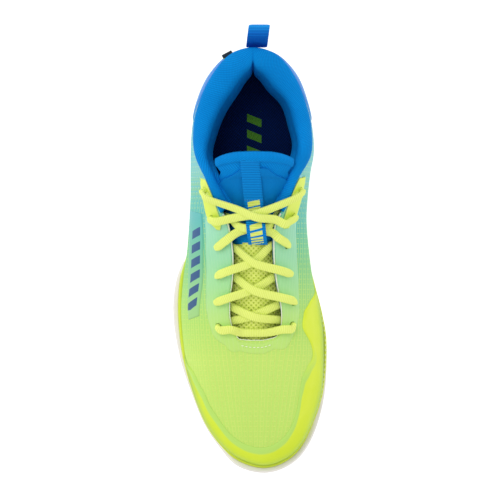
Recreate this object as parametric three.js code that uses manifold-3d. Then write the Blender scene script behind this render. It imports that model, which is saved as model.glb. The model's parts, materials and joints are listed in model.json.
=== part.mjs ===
// Court shoe for racket sports, right foot, laced and standing on its outsole.
// Millimetres, +Z up, the toe towards -Y, the inner (medial) side towards +X.
import * as THREE from 'three';
import { mergeVertices } from 'three/addons/utils/BufferGeometryUtils.js';
import Module from 'manifold-3d';

const wasm = await Module();
wasm.setup();

// Driving sizes.
const soleLength = 293;
const soleWidth = 107;
const upperHeight = 91;
const gap = 0.35 * (soleWidth / 107);
const meshThickness = 1.4;
const liningThickness = 0.9;
const filmThickness = 0.7;
const filmGap = 0.75 * (soleWidth / 107);
const stiffenerThickness = 1.0;
const boardThickness = 2.0;
const collarClearance = 1.1;
const outsoleThickness = 4.0;
const rubberWall = 2.2;
const socklinerThickness = 4.5;
const clothThickness = 0.8;
const tongueThickness = 5.0;
const panelThickness = 0.9;
const labelWidth = 13.2;
const labelThickness = 0.8;
const eyeletRadius = 2.4;
const laceDiameter = 3.0;
const agletLength = 19;
const agletDiameter = 3.4;
const tabWidth = 14.5;
const tabThickness = 1.8;
const tabLoopGap = 6.0;
const tabLength = 17;
const tabLeanDegrees = 19;
const tagSize = { width: 7.5, length: 5, thickness: 0.8, turnDegrees: 28 };
const socklinerInset = 5.8;
const socklinerRim = 2.0;
const arch = { from: -8, to: 38, halfWidth: 27, waist: 3, bow: 1.2, offset: -1.5 };

// The last's sections are given at this size and scaled to the driving sizes.
const stretch = { x: soleWidth / 107, y: soleLength / 293, z: upperHeight / 91 };

// One row per section round the shoe: toe, lateral side, heel, medial side.
// Feather line x, y. Top edge x, y, z. Bulge: out and up at the feather line, out and down at the
// top edge. Ledge of the midsole past the feather line. Rubber past the ledge. Rubber wall height.
const lastSections = [
  [8.3, -148.5, 4.8, -62.1, 59.0, 2.0, 24, 45, 9, 2.7, 3.5, 15],
  [-6.2, -144.2, 0.5, -62.1, 59.0, 2.0, 23, 43, 9, 2.7, 3.6, 15],
  [-17.6, -135.9, -4.1, -61.8, 59.0, 2.0, 22, 38, 8, 2.0, 1.6, 12],
  [-29.7, -120.0, -7.6, -61.1, 59.5, 2.0, 21, 31, 7, 1.5, 1.0, 9],
  [-39.0, -97.3, -10.7, -56.6, 60.5, 1.5, 20, 22, 6, 1.3, 1.2, 9],
  [-44.9, -73.1, -13.5, -48.3, 63.0, 0.5, 18, 16, 6, 1.9, 2.3, 11],
  [-47.7, -44.9, -14.1, -36.6, 66.0, 0.0, 18, 14, 7, 2.1, 3.6, 14],
  [-46.3, -20.7, -12.4, -20.7, 72.0, 0.5, 20, 14, 9, 2.2, 2.6, 12],
  [-42.8, 0.0, -12.1, -3.5, 78.0, 4.5, 22, 15, 12, 0.2, 0.0, 7],
  [-40.7, 20.7, -15.2, 16.6, 84.0, 6.0, 24, 12, 14, -1.0, -0.6, 6],
  [-40.0, 38.0, -21.4, 29.0, 88.0, 5.0, 25, 9, 17, -1.2, -0.6, 6],
  [-40.0, 55.0, -28.3, 45.5, 91.0, 4.0, 22, 7, 20, -1.2, -0.4, 6],
  [-39.5, 69.0, -36.9, 64.9, 84.0, 3.0, 16, 3, 16, -1.0, -0.2, 6],
  [-37.5, 86.3, -37.6, 84.2, 76.5, 3.0, 13, 2.5, 13, -0.8, 0.0, 6],
  [-33.5, 103.5, -32.4, 100.7, 75.0, 4.0, 12, 3.5, 13, -0.6, 0.0, 6],
  [-25.5, 119.0, -23.8, 116.6, 79.0, 5.0, 13, 5.0, 15, -0.4, 0.0, 7],
  [-12.4, 130.0, -12.0, 129.0, 86.0, 6.5, 15, 6.0, 17, -0.2, 0.0, 8],
  [2.1, 134.0, 2.1, 133.0, 91.0, 6.0, 18, 6.0, 20, 0.0, 0.0, 9],
  [16.6, 130.0, 16.6, 129.0, 86.0, 6.5, 15, 6.0, 17, -0.2, 0.0, 8],
  [29.5, 119.0, 28.0, 116.6, 79.0, 5.0, 13, 5.0, 15, -0.4, 0.0, 7],
  [36.5, 103.5, 35.8, 100.7, 75.0, 4.0, 12, 3.5, 13, -0.6, 0.0, 6],
  [40.5, 86.3, 41.0, 84.2, 77.0, 3.0, 13, 2.5, 13, -0.8, 0.0, 6],
  [40.5, 69.0, 41.0, 64.9, 86.0, 4.5, 16, 4, 16, -1.0, -0.2, 6],
  [38.6, 55.2, 31.8, 47.5, 92.0, 7.0, 22, 8, 20, -1.2, -0.4, 6],
  [37.3, 38.0, 24.6, 30.0, 89.0, 8.0, 25, 9, 18, -1.2, -0.6, 6],
  [36.6, 20.7, 17.8, 16.6, 85.0, 9.0, 26, 11, 15, -1.0, -0.6, 6],
  [38.6, 0.0, 16.9, -3.5, 79.0, 8.5, 25, 12, 13, 0.4, 0.0, 6],
  [43.5, -24.2, 18.6, -20.7, 73.0, 4.5, 22, 11, 10, 1.6, 0.0, 6],
  [48.7, -44.9, 21.4, -36.6, 67.0, 1.0, 18, 11, 8, 1.7, 0.0, 6],
  [50.6, -65.6, 22.1, -46.9, 64.0, 0.5, 18, 14, 7, 2.7, 0.2, 6],
  [49.3, -97.3, 20.7, -55.2, 61.0, 1.0, 19, 22, 6, 1.8, 1.4, 9],
  [41.7, -121.4, 17.9, -59.7, 59.5, 1.5, 21, 32, 7, 1.6, 3.4, 13],
  [32.8, -137.3, 12.4, -61.4, 59.0, 2.0, 22, 38, 8, 2.0, 3.6, 15],
  [21.4, -145.6, 8.6, -62.1, 59.0, 2.0, 23, 43, 9, 2.7, 3.6, 15],
];
const sectionCount = lastSections.length;
const heelSection = 17;

// Collar roll by section number: opening edge x, y, crest height, depth inside the shoe.
const collarFirst = 9;
const collarSections = [
  [-10.9, 22.0, 0.8, 3],
  [-16.6, 35.0, 1.5, 3],
  [-23.8, 50.0, 4.0, 5],
  [-29.0, 64.9, 7.0, 24],
  [-25.9, 81.0, 8.0, 26],
  [-20.0, 95.9, 8.0, 26],
  [-11.7, 109.0, 8.0, 28],
  [-4.3, 119.4, 7.0, 31],
  [2.1, 123.5, 6.0, 34],
  [8.6, 119.9, 7.0, 31],
  [15.9, 111.1, 8.0, 28],
  [25.2, 100.0, 8.0, 26],
  [29.7, 85.6, 8.0, 26],
  [32.4, 69.9, 7.0, 24],
  [27.6, 53.8, 4.0, 5],
  [21.0, 38.0, 1.5, 3],
  [16.6, 22.0, 0.8, 3],
];

// Tongue by distance along the shoe: y, height of the crown, half width, drop at the edges.
const tongueCentre = 3 * stretch.x;
const tongueSections = [
  [-80, 49.0, 22, 7.0],
  [-66, 54.0, 24, 8.5],
  [-50, 59.3, 25, 13.5],
  [-36, 64.2, 25, 15.5],
  [-20, 69.7, 24, 15.5],
  [0, 76.8, 20, 15.0],
  [15, 83.0, 16, 11.0],
  [30, 89.5, 15, 8.0],
  [45, 98.5, 18, 5.5],
  [56, 106.0, 26, 7.0],
  [66, 113.0, 29, 8.0],
];
const foldPlace = 51 * stretch.y;
const meshTonguePlace = 5 * stretch.y;
const tongueTopPlace = 65 * stretch.y;

// Even Catmull-Rom spline through the values v at knot spacing one.
function spline(v0, v1, v2, v3, t) {
  const slope = 2 * v1 + (v2 - v0) * t;
  const bend = (2 * v0 - 5 * v1 + 4 * v2 - v3) * t * t;
  const twist = (3 * v1 - v0 - 3 * v2 + v3) * t * t * t;
  return 0.5 * (slope + bend + twist);
}

// Value of one column of the last's table at section number a, which runs round the shoe.
function lastValue(column, a) {
  const turn = ((a % sectionCount) + sectionCount) % sectionCount;
  const i = Math.floor(turn);
  const at = (k) => lastSections[(i + k + sectionCount) % sectionCount][column];
  return spline(at(-1), at(0), at(1), at(2), turn - i);
}

// Value of one column of an open table, at place p counted in rows.
function tableValue(table, column, p) {
  const last = table.length - 1;
  const i = Math.min(Math.max(Math.floor(p), 0), last - 1);
  const at = (k) => table[Math.min(Math.max(k, 0), last)][column];
  return spline(at(i - 1), at(i), at(i + 1), at(i + 2), p - i);
}

// Height of the top of the midsole, thicker under the heel and lifted at the toe.
function midsoleTop(y) {
  const place = y / stretch.y;
  const heel = THREE.MathUtils.smoothstep(place, -60, 100);
  const toe = Math.max(0, (-100 - place) / 50);
  return (21 + 11 * heel + 4 * toe * toe) * stretch.z;
}

// Height of the ground side of the outsole: flat, with toe spring and a heel bevel.
function outsoleBottom(y) {
  const place = y / stretch.y;
  const toe = Math.max(0, (-92 - place) / 60);
  const heel = Math.max(0, (place - 105) / 30);
  return (8 * toe * toe + 3 * heel * heel) * stretch.z;
}

function featherPoint(a) {
  const x = lastValue(0, a) * stretch.x;
  const y = lastValue(1, a) * stretch.y;
  return new THREE.Vector3(x, y, midsoleTop(y) + gap);
}

// Level direction that points out of the shoe at the feather line.
function outward(a) {
  const step = featherPoint(a + 0.05).sub(featherPoint(a - 0.05));
  return new THREE.Vector3(step.y, -step.x, 0).normalize().negate();
}

function topPoint(a) {
  return new THREE.Vector3(
    lastValue(2, a) * stretch.x, lastValue(3, a) * stretch.y, lastValue(4, a) * stretch.z);
}

// Outer face of the upper: a counts sections round the shoe, h runs from feather line to top edge.
function upperPoint(a, h) {
  const foot = featherPoint(a);
  const top = topPoint(a);
  const out = outward(a);
  const reach = foot.clone().sub(top).setZ(0).addScaledVector(out, 30).normalize();
  const low = foot.clone().addScaledVector(out, lastValue(5, a));
  low.z += lastValue(6, a) * stretch.z;
  const high = top.clone().addScaledVector(reach, lastValue(7, a) * stretch.x);
  high.z -= lastValue(8, a) * stretch.z;
  const k = 1 - h;
  return foot.multiplyScalar(k * k * k)
    .addScaledVector(low, 3 * k * k * h)
    .addScaledVector(high, 3 * k * h * h)
    .addScaledVector(top, h * h * h);
}

function upperNormal(a, h) {
  const along = upperPoint(a + 0.1, h).sub(upperPoint(a - 0.1, h));
  const up = upperPoint(a, Math.min(h + 0.02, 1)).sub(upperPoint(a, Math.max(h - 0.02, 0)));
  return up.cross(along).normalize();
}

// Point at a height over the upper's outer face, below zero inside the shoe.
function onUpper(a, h, lift) {
  return upperPoint(a, h).addScaledVector(upperNormal(a, h), lift);
}

// Point of the sole at an offset out from the feather line and a height.
function onSole(a, offset, z) {
  const point = featherPoint(a).addScaledVector(outward(a), offset);
  point.z = z(point.y);
  return point;
}

// Geometry helpers: a list of points and of faces becomes one closed BufferGeometry.
function geometryFrom(points, faces) {
  const geometry = new THREE.BufferGeometry();
  geometry.setAttribute('position', new THREE.Float32BufferAttribute(points.flatMap((p) => p.toArray()), 3));
  geometry.setIndex(faces.flat());
  return geometry;
}

// Skin with two faces: rows of outer and inner points, closed along its rim.
function skinGeometry(outer, inner, ring) {
  const rows = outer.length;
  const columns = outer[0].length;
  const points = [...outer.flat(), ...inner.flat()];
  const faces = [];
  const place = (i, j, side) => side * rows * columns + (i % rows) * columns + j;
  const quad = (p, q, r, s) => faces.push([p, q, r], [p, r, s]);
  const lastRow = ring ? rows : rows - 1;
  for (let i = 0; i < lastRow; i += 1) {
    for (let j = 0; j < columns - 1; j += 1) {
      quad(place(i, j, 0), place(i, j + 1, 0), place(i + 1, j + 1, 0), place(i + 1, j, 0));
      quad(place(i, j, 1), place(i + 1, j, 1), place(i + 1, j + 1, 1), place(i, j + 1, 1));
    }
    const end = columns - 1;
    quad(place(i, 0, 0), place(i + 1, 0, 0), place(i + 1, 0, 1), place(i, 0, 1));
    quad(place(i, end, 0), place(i, end, 1), place(i + 1, end, 1), place(i + 1, end, 0));
  }
  for (let j = 0; j < columns - 1 && !ring; j += 1) {
    const end = rows - 1;
    quad(place(0, j, 0), place(0, j, 1), place(0, j + 1, 1), place(0, j + 1, 0));
    quad(place(end, j, 0), place(end, j + 1, 0), place(end, j + 1, 1), place(end, j, 1));
  }
  return geometryFrom(points, faces);
}

// Solid through closed loops of points, with a fan over each end.
function loftGeometry(loops) {
  const size = loops[0].length;
  const points = loops.flat();
  const faces = [];
  for (let i = 0; i < loops.length - 1; i += 1) {
    for (let j = 0; j < size; j += 1) {
      const next = (j + 1) % size;
      const [p, q] = [i * size + j, i * size + next];
      faces.push([p, q, q + size], [p, q + size, p + size]);
    }
  }
  const centre = (loop) => loop.reduce((sum, p) => sum.add(p), new THREE.Vector3()).divideScalar(size);
  const start = points.push(centre(loops[0])) - 1;
  const end = points.push(centre(loops.at(-1))) - 1;
  const lastLoop = (loops.length - 1) * size;
  for (let j = 0; j < size; j += 1) {
    const next = (j + 1) % size;
    faces.push([start, next, j], [end, lastLoop + j, lastLoop + next]);
  }
  return geometryFrom(points, faces);
}

// Solid through level rings round the sole, closed below and above by a ladder across the shoe.
function ringGeometry(rings) {
  const size = rings[0].length;
  const faces = [];
  for (let i = 0; i < rings.length - 1; i += 1) {
    for (let j = 0; j < size; j += 1) {
      const next = (j + 1) % size;
      const [p, q] = [i * size + j, i * size + next];
      faces.push([p, q + size, q], [p, p + size, q + size]);
    }
  }
  const top = (rings.length - 1) * size;
  for (let j = 0; j < size / 2; j += 1) {
    const [near, far] = [j, (size - j) % size];
    const [nearNext, farNext] = [j + 1, size - j - 1];
    if (near !== far) {
      faces.push([near, nearNext, far], [top + near, top + far, top + nearNext]);
    }
    if (nearNext !== farNext) {
      faces.push([far, nearNext, farNext], [top + far, top + farNext, top + nearNext]);
    }
  }
  return geometryFrom(rings.flat(), faces);
}

const range = (count, from, to) =>
  Array.from({ length: count }, (_, i) => from + ((to - from) * i) / (count - 1));
const turnSteps = 56;
const roundShoe = Array.from({ length: turnSteps }, (_, i) => (i * sectionCount) / turnSteps);
const upSteps = [0, 0.07, 0.17, 0.3, 0.45, 0.63, 0.82, 1];

// Layer of the upper between two lifts, over the sections in places and the heights in rows(a).
function layer(places, rows, liftOut, liftIn, ring = false) {
  const level = (lift, a, h) => (typeof lift === 'function' ? lift(a, h) : lift);
  const face = (lift) => places.map((a) => rows(a).map((h) => onUpper(a, h, level(lift, a, h))));
  return skinGeometry(face(liftOut), face(liftIn), ring);
}

// Booleans with manifold-3d.
function toSolid(geometry) {
  const bare = new THREE.BufferGeometry();
  bare.setAttribute('position', geometry.getAttribute('position').clone());
  bare.setIndex(geometry.getIndex() ? geometry.getIndex().clone() : null);
  const merged = mergeVertices(bare, 1e-4);
  return new wasm.Manifold(new wasm.Mesh({
    numProp: 3,
    vertProperties: new Float32Array(merged.getAttribute('position').array),
    triVerts: new Uint32Array(merged.getIndex().array),
  }));
}

function fromSolid(solid) {
  const mesh = solid.getMesh();
  const geometry = new THREE.BufferGeometry();
  geometry.setAttribute('position', new THREE.BufferAttribute(new Float32Array(mesh.vertProperties), 3));
  geometry.setIndex(new THREE.BufferAttribute(new Uint32Array(mesh.triVerts), 1));
  return geometry;
}

// Eyelet holes: six a side, each as section number and place on the upper.
const eyelets = {
  lateral: [[5.03, 0.82], [6.14, 0.81], [7.15, 0.795], [8.22, 0.8], [9.32, 0.78], [10.7, 0.86]],
  medial: [[29.13, 0.83], [27.87, 0.76], [26.76, 0.76], [25.74, 0.78], [24.58, 0.74], [23.4, 0.83]],
};
const eyeletPlaces = [...eyelets.lateral, ...eyelets.medial];

// Round punch through every layer of the upper at one eyelet.
function eyeletPunch([a, h]) {
  const punch = new THREE.CylinderGeometry(eyeletRadius, eyeletRadius, 16, 8);
  const turn = new THREE.Quaternion().setFromUnitVectors(new THREE.Vector3(0, 1, 0), upperNormal(a, h));
  punch.applyQuaternion(turn);
  punch.translate(...upperPoint(a, h).toArray());
  return toSolid(punch);
}
const punches = eyeletPlaces.map(eyeletPunch);

const punched = (geometry) =>
  fromSolid(punches.reduce((left, punch) => left.subtract(punch), toSolid(geometry)));

// Materials, one for each kind of surface.
const finish = (color, roughness) => new THREE.MeshStandardMaterial({ color, roughness, metalness: 0 });
const finishes = {
  rubber: finish('#e7e3da', 0.6),
  midsole: finish('#dfee4e', 0.5),
  shank: finish('#1c3f8f', 0.35),
  mesh: finish('#9edbb0', 0.85),
  toeFilm: finish('#def050', 0.35),
  heelFilm: finish('#4a80ce', 0.4),
  stayFilm: finish('#b6e9b8', 0.5),
  collar: finish('#028cdc', 0.9),
  tongueMesh: finish('#d8ec58', 0.9),
  navy: finish('#01245c', 0.9),
  lining: finish('#0177c6', 0.9),
  board: finish('#d9d3c4', 0.95),
  stiffener: finish('#cfcfcf', 0.6),
  lace: finish('#eefb9c', 0.85),
  aglet: finish('#e9f3b0', 0.25),
  tag: finish('#0d2430', 0.8),
};

const shoe = new THREE.Group();
function add(name, geometry, material) {
  const mesh = new THREE.Mesh(geometry, finishes[material]);
  mesh.name = name;
  shoe.add(mesh);
}

// Outsole: a rubber cup whose wall climbs round the toe and at the outer side of the ball.
function outsoleGeometry() {
  const edge = (a) => lastValue(9, a) + lastValue(10, a);
  const floor = (y) => outsoleBottom(y) + outsoleThickness;
  const rim = (a) => (y) => outsoleBottom(y) + lastValue(11, a) * stretch.z;
  return ringGeometry([
    roundShoe.map((a) => onSole(a, edge(a) - 3.5, outsoleBottom)),
    roundShoe.map((a) => onSole(a, edge(a) - 0.8, (y) => outsoleBottom(y) + 1.4)),
    roundShoe.map((a) => onSole(a, edge(a), rim(a))),
    roundShoe.map((a) => onSole(a, edge(a) - rubberWall, rim(a))),
    roundShoe.map((a) => onSole(a, edge(a) - rubberWall - 1, floor)),
  ]);
}

// The rubber is in two pieces, with the shank showing between them under the arch.
function addOutsoles() {
  const whole = toSolid(outsoleGeometry());
  const blockDepth = 400;
  const piece = (from, to) => {
    const block = new THREE.BoxGeometry(blockDepth, to - from, blockDepth);
    block.translate(0, (from + to) / 2, 0);
    return fromSolid(whole.intersect(toSolid(block)));
  };
  add('forefoot_outsole', piece(-blockDepth, arch.from * stretch.y), 'rubber');
  add('heel_outsole', piece(arch.to * stretch.y, blockDepth), 'rubber');
}

// Shank: a stiff arch plate bonded under the midsole between the two rubber pieces.
function addShank() {
  const bridge = range(7, arch.from * stretch.y + gap, arch.to * stretch.y - gap);
  const loops = bridge.map((y) => {
    const bow = Math.sin(((y / stretch.y - arch.from) / (arch.to - arch.from)) * Math.PI);
    const base = outsoleBottom(y) + arch.bow * (1 + bow);
    const top = outsoleBottom(y) + outsoleThickness;
    const wide = arch.halfWidth * stretch.x - arch.waist * bow;
    return [[-wide, base], [wide, base], [wide, top], [-wide, top]]
      .map(([x, z]) => new THREE.Vector3(x + arch.offset * stretch.x, y, z));
  });
  add('midfoot_shank', loftGeometry(loops.reverse()), 'shank');
}

// Midsole: foam with a ledge round the upper and a shallow seat for the insole board.
function addMidsole() {
  const inner = (a) => Math.min(lastValue(9, a), lastValue(9, a) + lastValue(10, a) - rubberWall) - gap;
  const seat = (y) => midsoleTop(y) - boardThickness - gap;
  const base = (y) => outsoleBottom(y) + outsoleThickness + gap;
  const rim = (a) => (y) => outsoleBottom(y) + lastValue(11, a) * stretch.z + gap;
  add('midsole', ringGeometry([
    roundShoe.map((a) => onSole(a, inner(a) - 2, base)),
    roundShoe.map((a) => onSole(a, inner(a) - 0.8, (y) => base(y) + 1)),
    roundShoe.map((a) => onSole(a, inner(a), rim(a))),
    roundShoe.map((a) => onSole(a, lastValue(9, a), (y) => rim(a)(y) + 0.6)),
    roundShoe.map((a) => onSole(a, lastValue(9, a), (y) => midsoleTop(y) - 1)),
    roundShoe.map((a) => onSole(a, lastValue(9, a) - 0.8, midsoleTop)),
    roundShoe.map((a) => onSole(a, Math.min(lastValue(9, a) - 1.4, -1), midsoleTop)),
    roundShoe.map((a) => onSole(a, Math.min(lastValue(9, a) - 1.6, -1.3), seat)),
  ]), 'midsole');
}

// Insole board, stitched to the upper all round.
function addBoard() {
  const edge = (a) => Math.min(lastValue(9, a) - 1.6, -1.3) - gap;
  const top = (y) => midsoleTop(y) - gap;
  const bottom = (y) => midsoleTop(y) - boardThickness;
  add('insole_board', ringGeometry([
    roundShoe.map((a) => onSole(a, edge(a), bottom)),
    roundShoe.map((a) => onSole(a, edge(a), top)),
  ]), 'board');
}

// Sockliner: a foam footbed with a raised edge, and its cloth top.
function addSockliner() {
  const base = (y) => midsoleTop(y) + gap;
  const floor = (y) => base(y) + socklinerThickness;
  add('sockliner_foam', ringGeometry([
    roundShoe.map((a) => onSole(a, -socklinerInset - 1, base)),
    roundShoe.map((a) => onSole(a, -socklinerInset, (y) => base(y) + 2)),
    roundShoe.map((a) => onSole(a, -socklinerInset - 0.4, (y) => floor(y) + socklinerRim)),
    roundShoe.map((a) => onSole(a, -socklinerInset - 1.8, (y) => floor(y) + socklinerRim)),
    roundShoe.map((a) => onSole(a, -socklinerInset - 5, floor)),
  ]), 'navy');
  add('sockliner_cloth', ringGeometry([
    roundShoe.map((a) => onSole(a, -socklinerInset - 6, (y) => floor(y) + gap)),
    roundShoe.map((a) => onSole(a, -socklinerInset - 6, (y) => floor(y) + gap + clothThickness)),
  ]), 'navy');
}

// Upper: engineered mesh from the feather line to the throat and the collar seam.
function addUpper() {
  add('upper_mesh', punched(layer(roundShoe, () => upSteps, 0, -meshThickness, true)), 'mesh');
}

// Lining depth: room for the stiffeners low down, close to the mesh at the throat.
function liningLift(a, h) {
  const high = THREE.MathUtils.smoothstep(h, 0.45, 0.75);
  return -meshThickness - gap - (stiffenerThickness + 2 * gap) * (1 - high);
}

// Lower edge of the collar padding, and how high the lining reaches below it.
const collarPlace = (a) => a - collarFirst;
const underCollar = (a) => a > collarFirst + 0.3 && a < collarFirst + collarSections.length - 1.3;
function collarFoot(a) {
  const height = topPoint(a).z - featherPoint(a).z;
  return 1 - (0.9 * tableValue(collarSections, 3, collarPlace(a)) * stretch.z) / height;
}
const liningTop = (a) => (underCollar(a) ? collarFoot(a) - 0.04 : 0.985);

function addLining() {
  const inside = (a, h) => liningLift(a, h) - liningThickness;
  const rows = (a) => upSteps.map((step) => 0.02 + (liningTop(a) - 0.02) * step);
  add('vamp_and_quarter_lining', punched(layer(roundShoe, rows, liningLift, inside, true)), 'lining');
}

// Stiffeners between mesh and lining, on the same grid as the mesh.
function addStiffeners() {
  const outer = -meshThickness - gap;
  const inner = outer - stiffenerThickness;
  const between = (from, to) => roundShoe.filter((a) => a >= from && a <= to);
  const toe = [...between(30.8, sectionCount).map((a) => a - sectionCount), ...between(0, 3.2)];
  const counter = layer(between(13.2, 20.8), () => [0.03, 0.07, 0.17, 0.3, 0.4], outer, inner);
  add('heel_counter', counter, 'stiffener');
  add('toe_puff', layer(toe, () => [0.03, 0.07, 0.17, 0.3], outer, inner), 'stiffener');
}

// Films bonded on the outside of the mesh.

// Edges of the films: section number and place on the upper.
const toeFilmEdge = [
  [-6.85, 0.1], [-6.4, 0.39], [-5.9, 0.57], [-5.3, 0.64], [-4.95, 0.65], [-4.65, 0.47], [-4.4, 0.46],
  [-4.0, 0.55], [-3.35, 0.61], [-2.8, 0.58], [-2.45, 0.51], [-2.0, 0.44], [-1.35, 0.38], [-0.65, 0.35],
  [0, 0.34], [0.65, 0.34], [1.55, 0.36], [2.5, 0.4], [3.45, 0.4], [4.4, 0.28], [5.0, 0.04],
];
const eyestayEdge = [
  [-11.2, 0.9], [-10.5, 0.72], [-9.4, 0.6], [-8.2, 0.6], [-7.0, 0.6], [-5.6, 0.68], [-4.2, 0.84],
  [-2.3, 0.93], [2.0, 0.93], [3.8, 0.86], [4.9, 0.72], [6.0, 0.64], [7.0, 0.61], [9.0, 0.61],
  [10.2, 0.69], [11.2, 0.82],
];
const heelFilmEdge = [[13.2, 0.5], [14.5, 0.8], [16.0, 0.985], [18.0, 0.985], [19.5, 0.8], [20.8, 0.5]];
const patchLow = [[5.8, 0.32], [7.0, 0.27], [8.3, 0.25], [9.4, 0.17]];
const patchHigh = [[5.8, 0.53], [7.0, 0.56], [8.3, 0.57], [9.4, 0.57]];
const wingEdges = {
  lateral: {
    low: [[8.8, 0.83], [8.9, 0.77], [9.1, 0.72], [9.5, 0.7], [10.4, 0.71], [10.9, 0.76], [11.15, 0.83]],
    high: [[8.8, 0.86], [9.0, 0.9], [9.4, 0.92], [10.0, 0.97], [10.5, 0.99], [11.15, 0.99]],
  },
  medial: {
    low: [[22.9, 0.78], [23.15, 0.71], [23.8, 0.65], [24.6, 0.64], [24.95, 0.69], [25.15, 0.77]],
    high: [[22.9, 0.97], [23.3, 0.99], [23.6, 0.99], [24.1, 0.97], [24.5, 0.92], [25.15, 0.85]],
  },
};

function edgeHeight(edge, a) {
  const index = edge.findIndex(([place]) => place >= a);
  const next = Math.max(index < 0 ? edge.length - 1 : index, 1);
  const [[a0, h0], [a1, h1]] = [edge[next - 1], edge[next]];
  return THREE.MathUtils.lerp(h0, h1, THREE.MathUtils.clamp((a - a0) / (a1 - a0), 0, 1));
}

// Film between two edges; the level counts the films already under it.
function film(low, high, steps, count, level = 0) {
  const bottom = filmGap + level * (filmThickness + filmGap);
  const lowEdge = (a) => (Array.isArray(low) ? edgeHeight(low, a) : low);
  const highEdge = (a) => (Array.isArray(high) ? edgeHeight(high, a) : high);
  const reach = Array.isArray(low) ? low : high;
  const places = range(steps, reach[0][0], reach.at(-1)[0]);
  return layer(places, (a) => range(count, lowEdge(a), highEdge(a)), bottom + filmThickness, bottom);
}

function addFilms() {
  add('toe_film', film(0, toeFilmEdge, 38, 5), 'toeFilm');
  add('eyestay_film', punched(film(eyestayEdge, 0.985, 38, 4)), 'stayFilm');
  add('side_patch', film(patchLow, patchHigh, 8, 4), 'stayFilm');
  add('heel_film', film(0.12, heelFilmEdge, 17, 5), 'heelFilm');
  for (const [side, { low, high }] of Object.entries(wingEdges)) {
    add(`wing_tab_${side}`, punched(film(low, high, 10, 4, 1)), 'toeFilm');
  }
}

// Collar: one padded roll a side, meeting in a crease at the heel.
function collarLoop(a) {
  const value = (column) => tableValue(collarSections, column, collarPlace(a));
  const seam = topPoint(a);
  const opening = new THREE.Vector3(value(0) * stretch.x, value(1) * stretch.y, seam.z);
  const crest = value(2) * stretch.z;
  const depth = value(3) * stretch.z;
  const half = seam.clone().sub(opening).multiplyScalar(0.5);
  const middle = opening.clone().add(half);
  const behind = -meshThickness - collarClearance;
  const foot = collarFoot(a);
  const bulge = outward(a);
  const above = onUpper(a, 1, behind).setZ(seam.z + 0.5);
  const arch = range(6, 0, Math.PI).map((turn) => middle.clone()
    .addScaledVector(half, 1.04 * Math.cos(turn))
    .setZ(seam.z + 0.5 + crest * Math.sin(turn)));
  const inner = [[0.3, 0.6], [0.62, 1.6], [0.86, 3.2]].map(([fall, away]) => opening.clone()
    .addScaledVector(bulge, away)
    .setZ(seam.z - fall * depth));
  const low = [foot, THREE.MathUtils.lerp(foot, 1, 0.5), 0.97].map((h) => onUpper(a, h, behind));
  return [...low, above, ...arch, ...inner, onUpper(a, foot, behind - 2.6)];
}

function addCollar() {
  const [front, back] = [collarFirst + 0.7, collarFirst + collarSections.length - 1.7];
  const crease = 0.04;
  const pads = { lateral: [front, heelSection - crease], medial: [heelSection + crease, back] };
  for (const [side, [from, to]] of Object.entries(pads)) {
    add(`collar_pad_${side}`, loftGeometry(range(15, from, to).map(collarLoop)), 'collar');
  }
}

// Tongue surface: p counts table rows, s runs from -1 to 1 across, lift is over the outer face.
function tonguePoint(p, s) {
  const value = (column) => tableValue(tongueSections, column, p);
  return new THREE.Vector3(
    tongueCentre + value(2) * s * stretch.x,
    value(0) * stretch.y,
    (value(1) - value(3) * s * s) * stretch.z);
}

function onTongue(p, s, lift) {
  const along = tonguePoint(p + 0.05, s).sub(tonguePoint(p - 0.05, s));
  const across = tonguePoint(p, s + 0.05).sub(tonguePoint(p, s - 0.05));
  return tonguePoint(p, s).addScaledVector(across.cross(along).normalize(), lift);
}

// Row number of the tongue's table at a distance along the shoe.
function tongueRow(y) {
  let [low, high] = [0, tongueSections.length - 1];
  for (let i = 0; i < 30; i += 1) {
    const middle = (low + high) / 2;
    if (tableValue(tongueSections, 0, middle) * stretch.y < y) {
      low = middle;
    } else {
      high = middle;
    }
  }
  return low;
}

// Layer of the tongue between two places, over a share of its width.
function tongueLayer([from, to], share, steps, liftOut, liftIn) {
  const rows = range(steps, tongueRow(from), tongueRow(to));
  const across = range(7, -share, share);
  const face = (lift) => rows.map((p) => across.map((s) => onTongue(p, s, lift)));
  return skinGeometry(face(liftOut), face(liftIn), false);
}

function addTongue() {
  const start = tongueSections[0][0] * stretch.y;
  const pad = -tongueThickness;
  add('tongue_mesh', tongueLayer([start, meshTonguePlace - gap], 1, 12, 0, pad + 1), 'tongueMesh');
  add('tongue_pad', tongueLayer([meshTonguePlace, foldPlace - 0.5], 1, 8, 0, pad), 'collar');
  const panel = tongueLayer([meshTonguePlace + 3, foldPlace - 2], 0.74, 8, gap + panelThickness, gap);
  add('tongue_panel', panel, 'collar');
  const under = pad - 2 * gap;
  const lining = tongueLayer([start, foldPlace - 0.5], 0.96, 19, under, under - clothThickness);
  add('tongue_lining', lining, 'lining');
  add('tongue_top', tongueLayer([foldPlace, tongueTopPlace], 1, 6, 0, pad - 1), 'collar');
}

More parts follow.
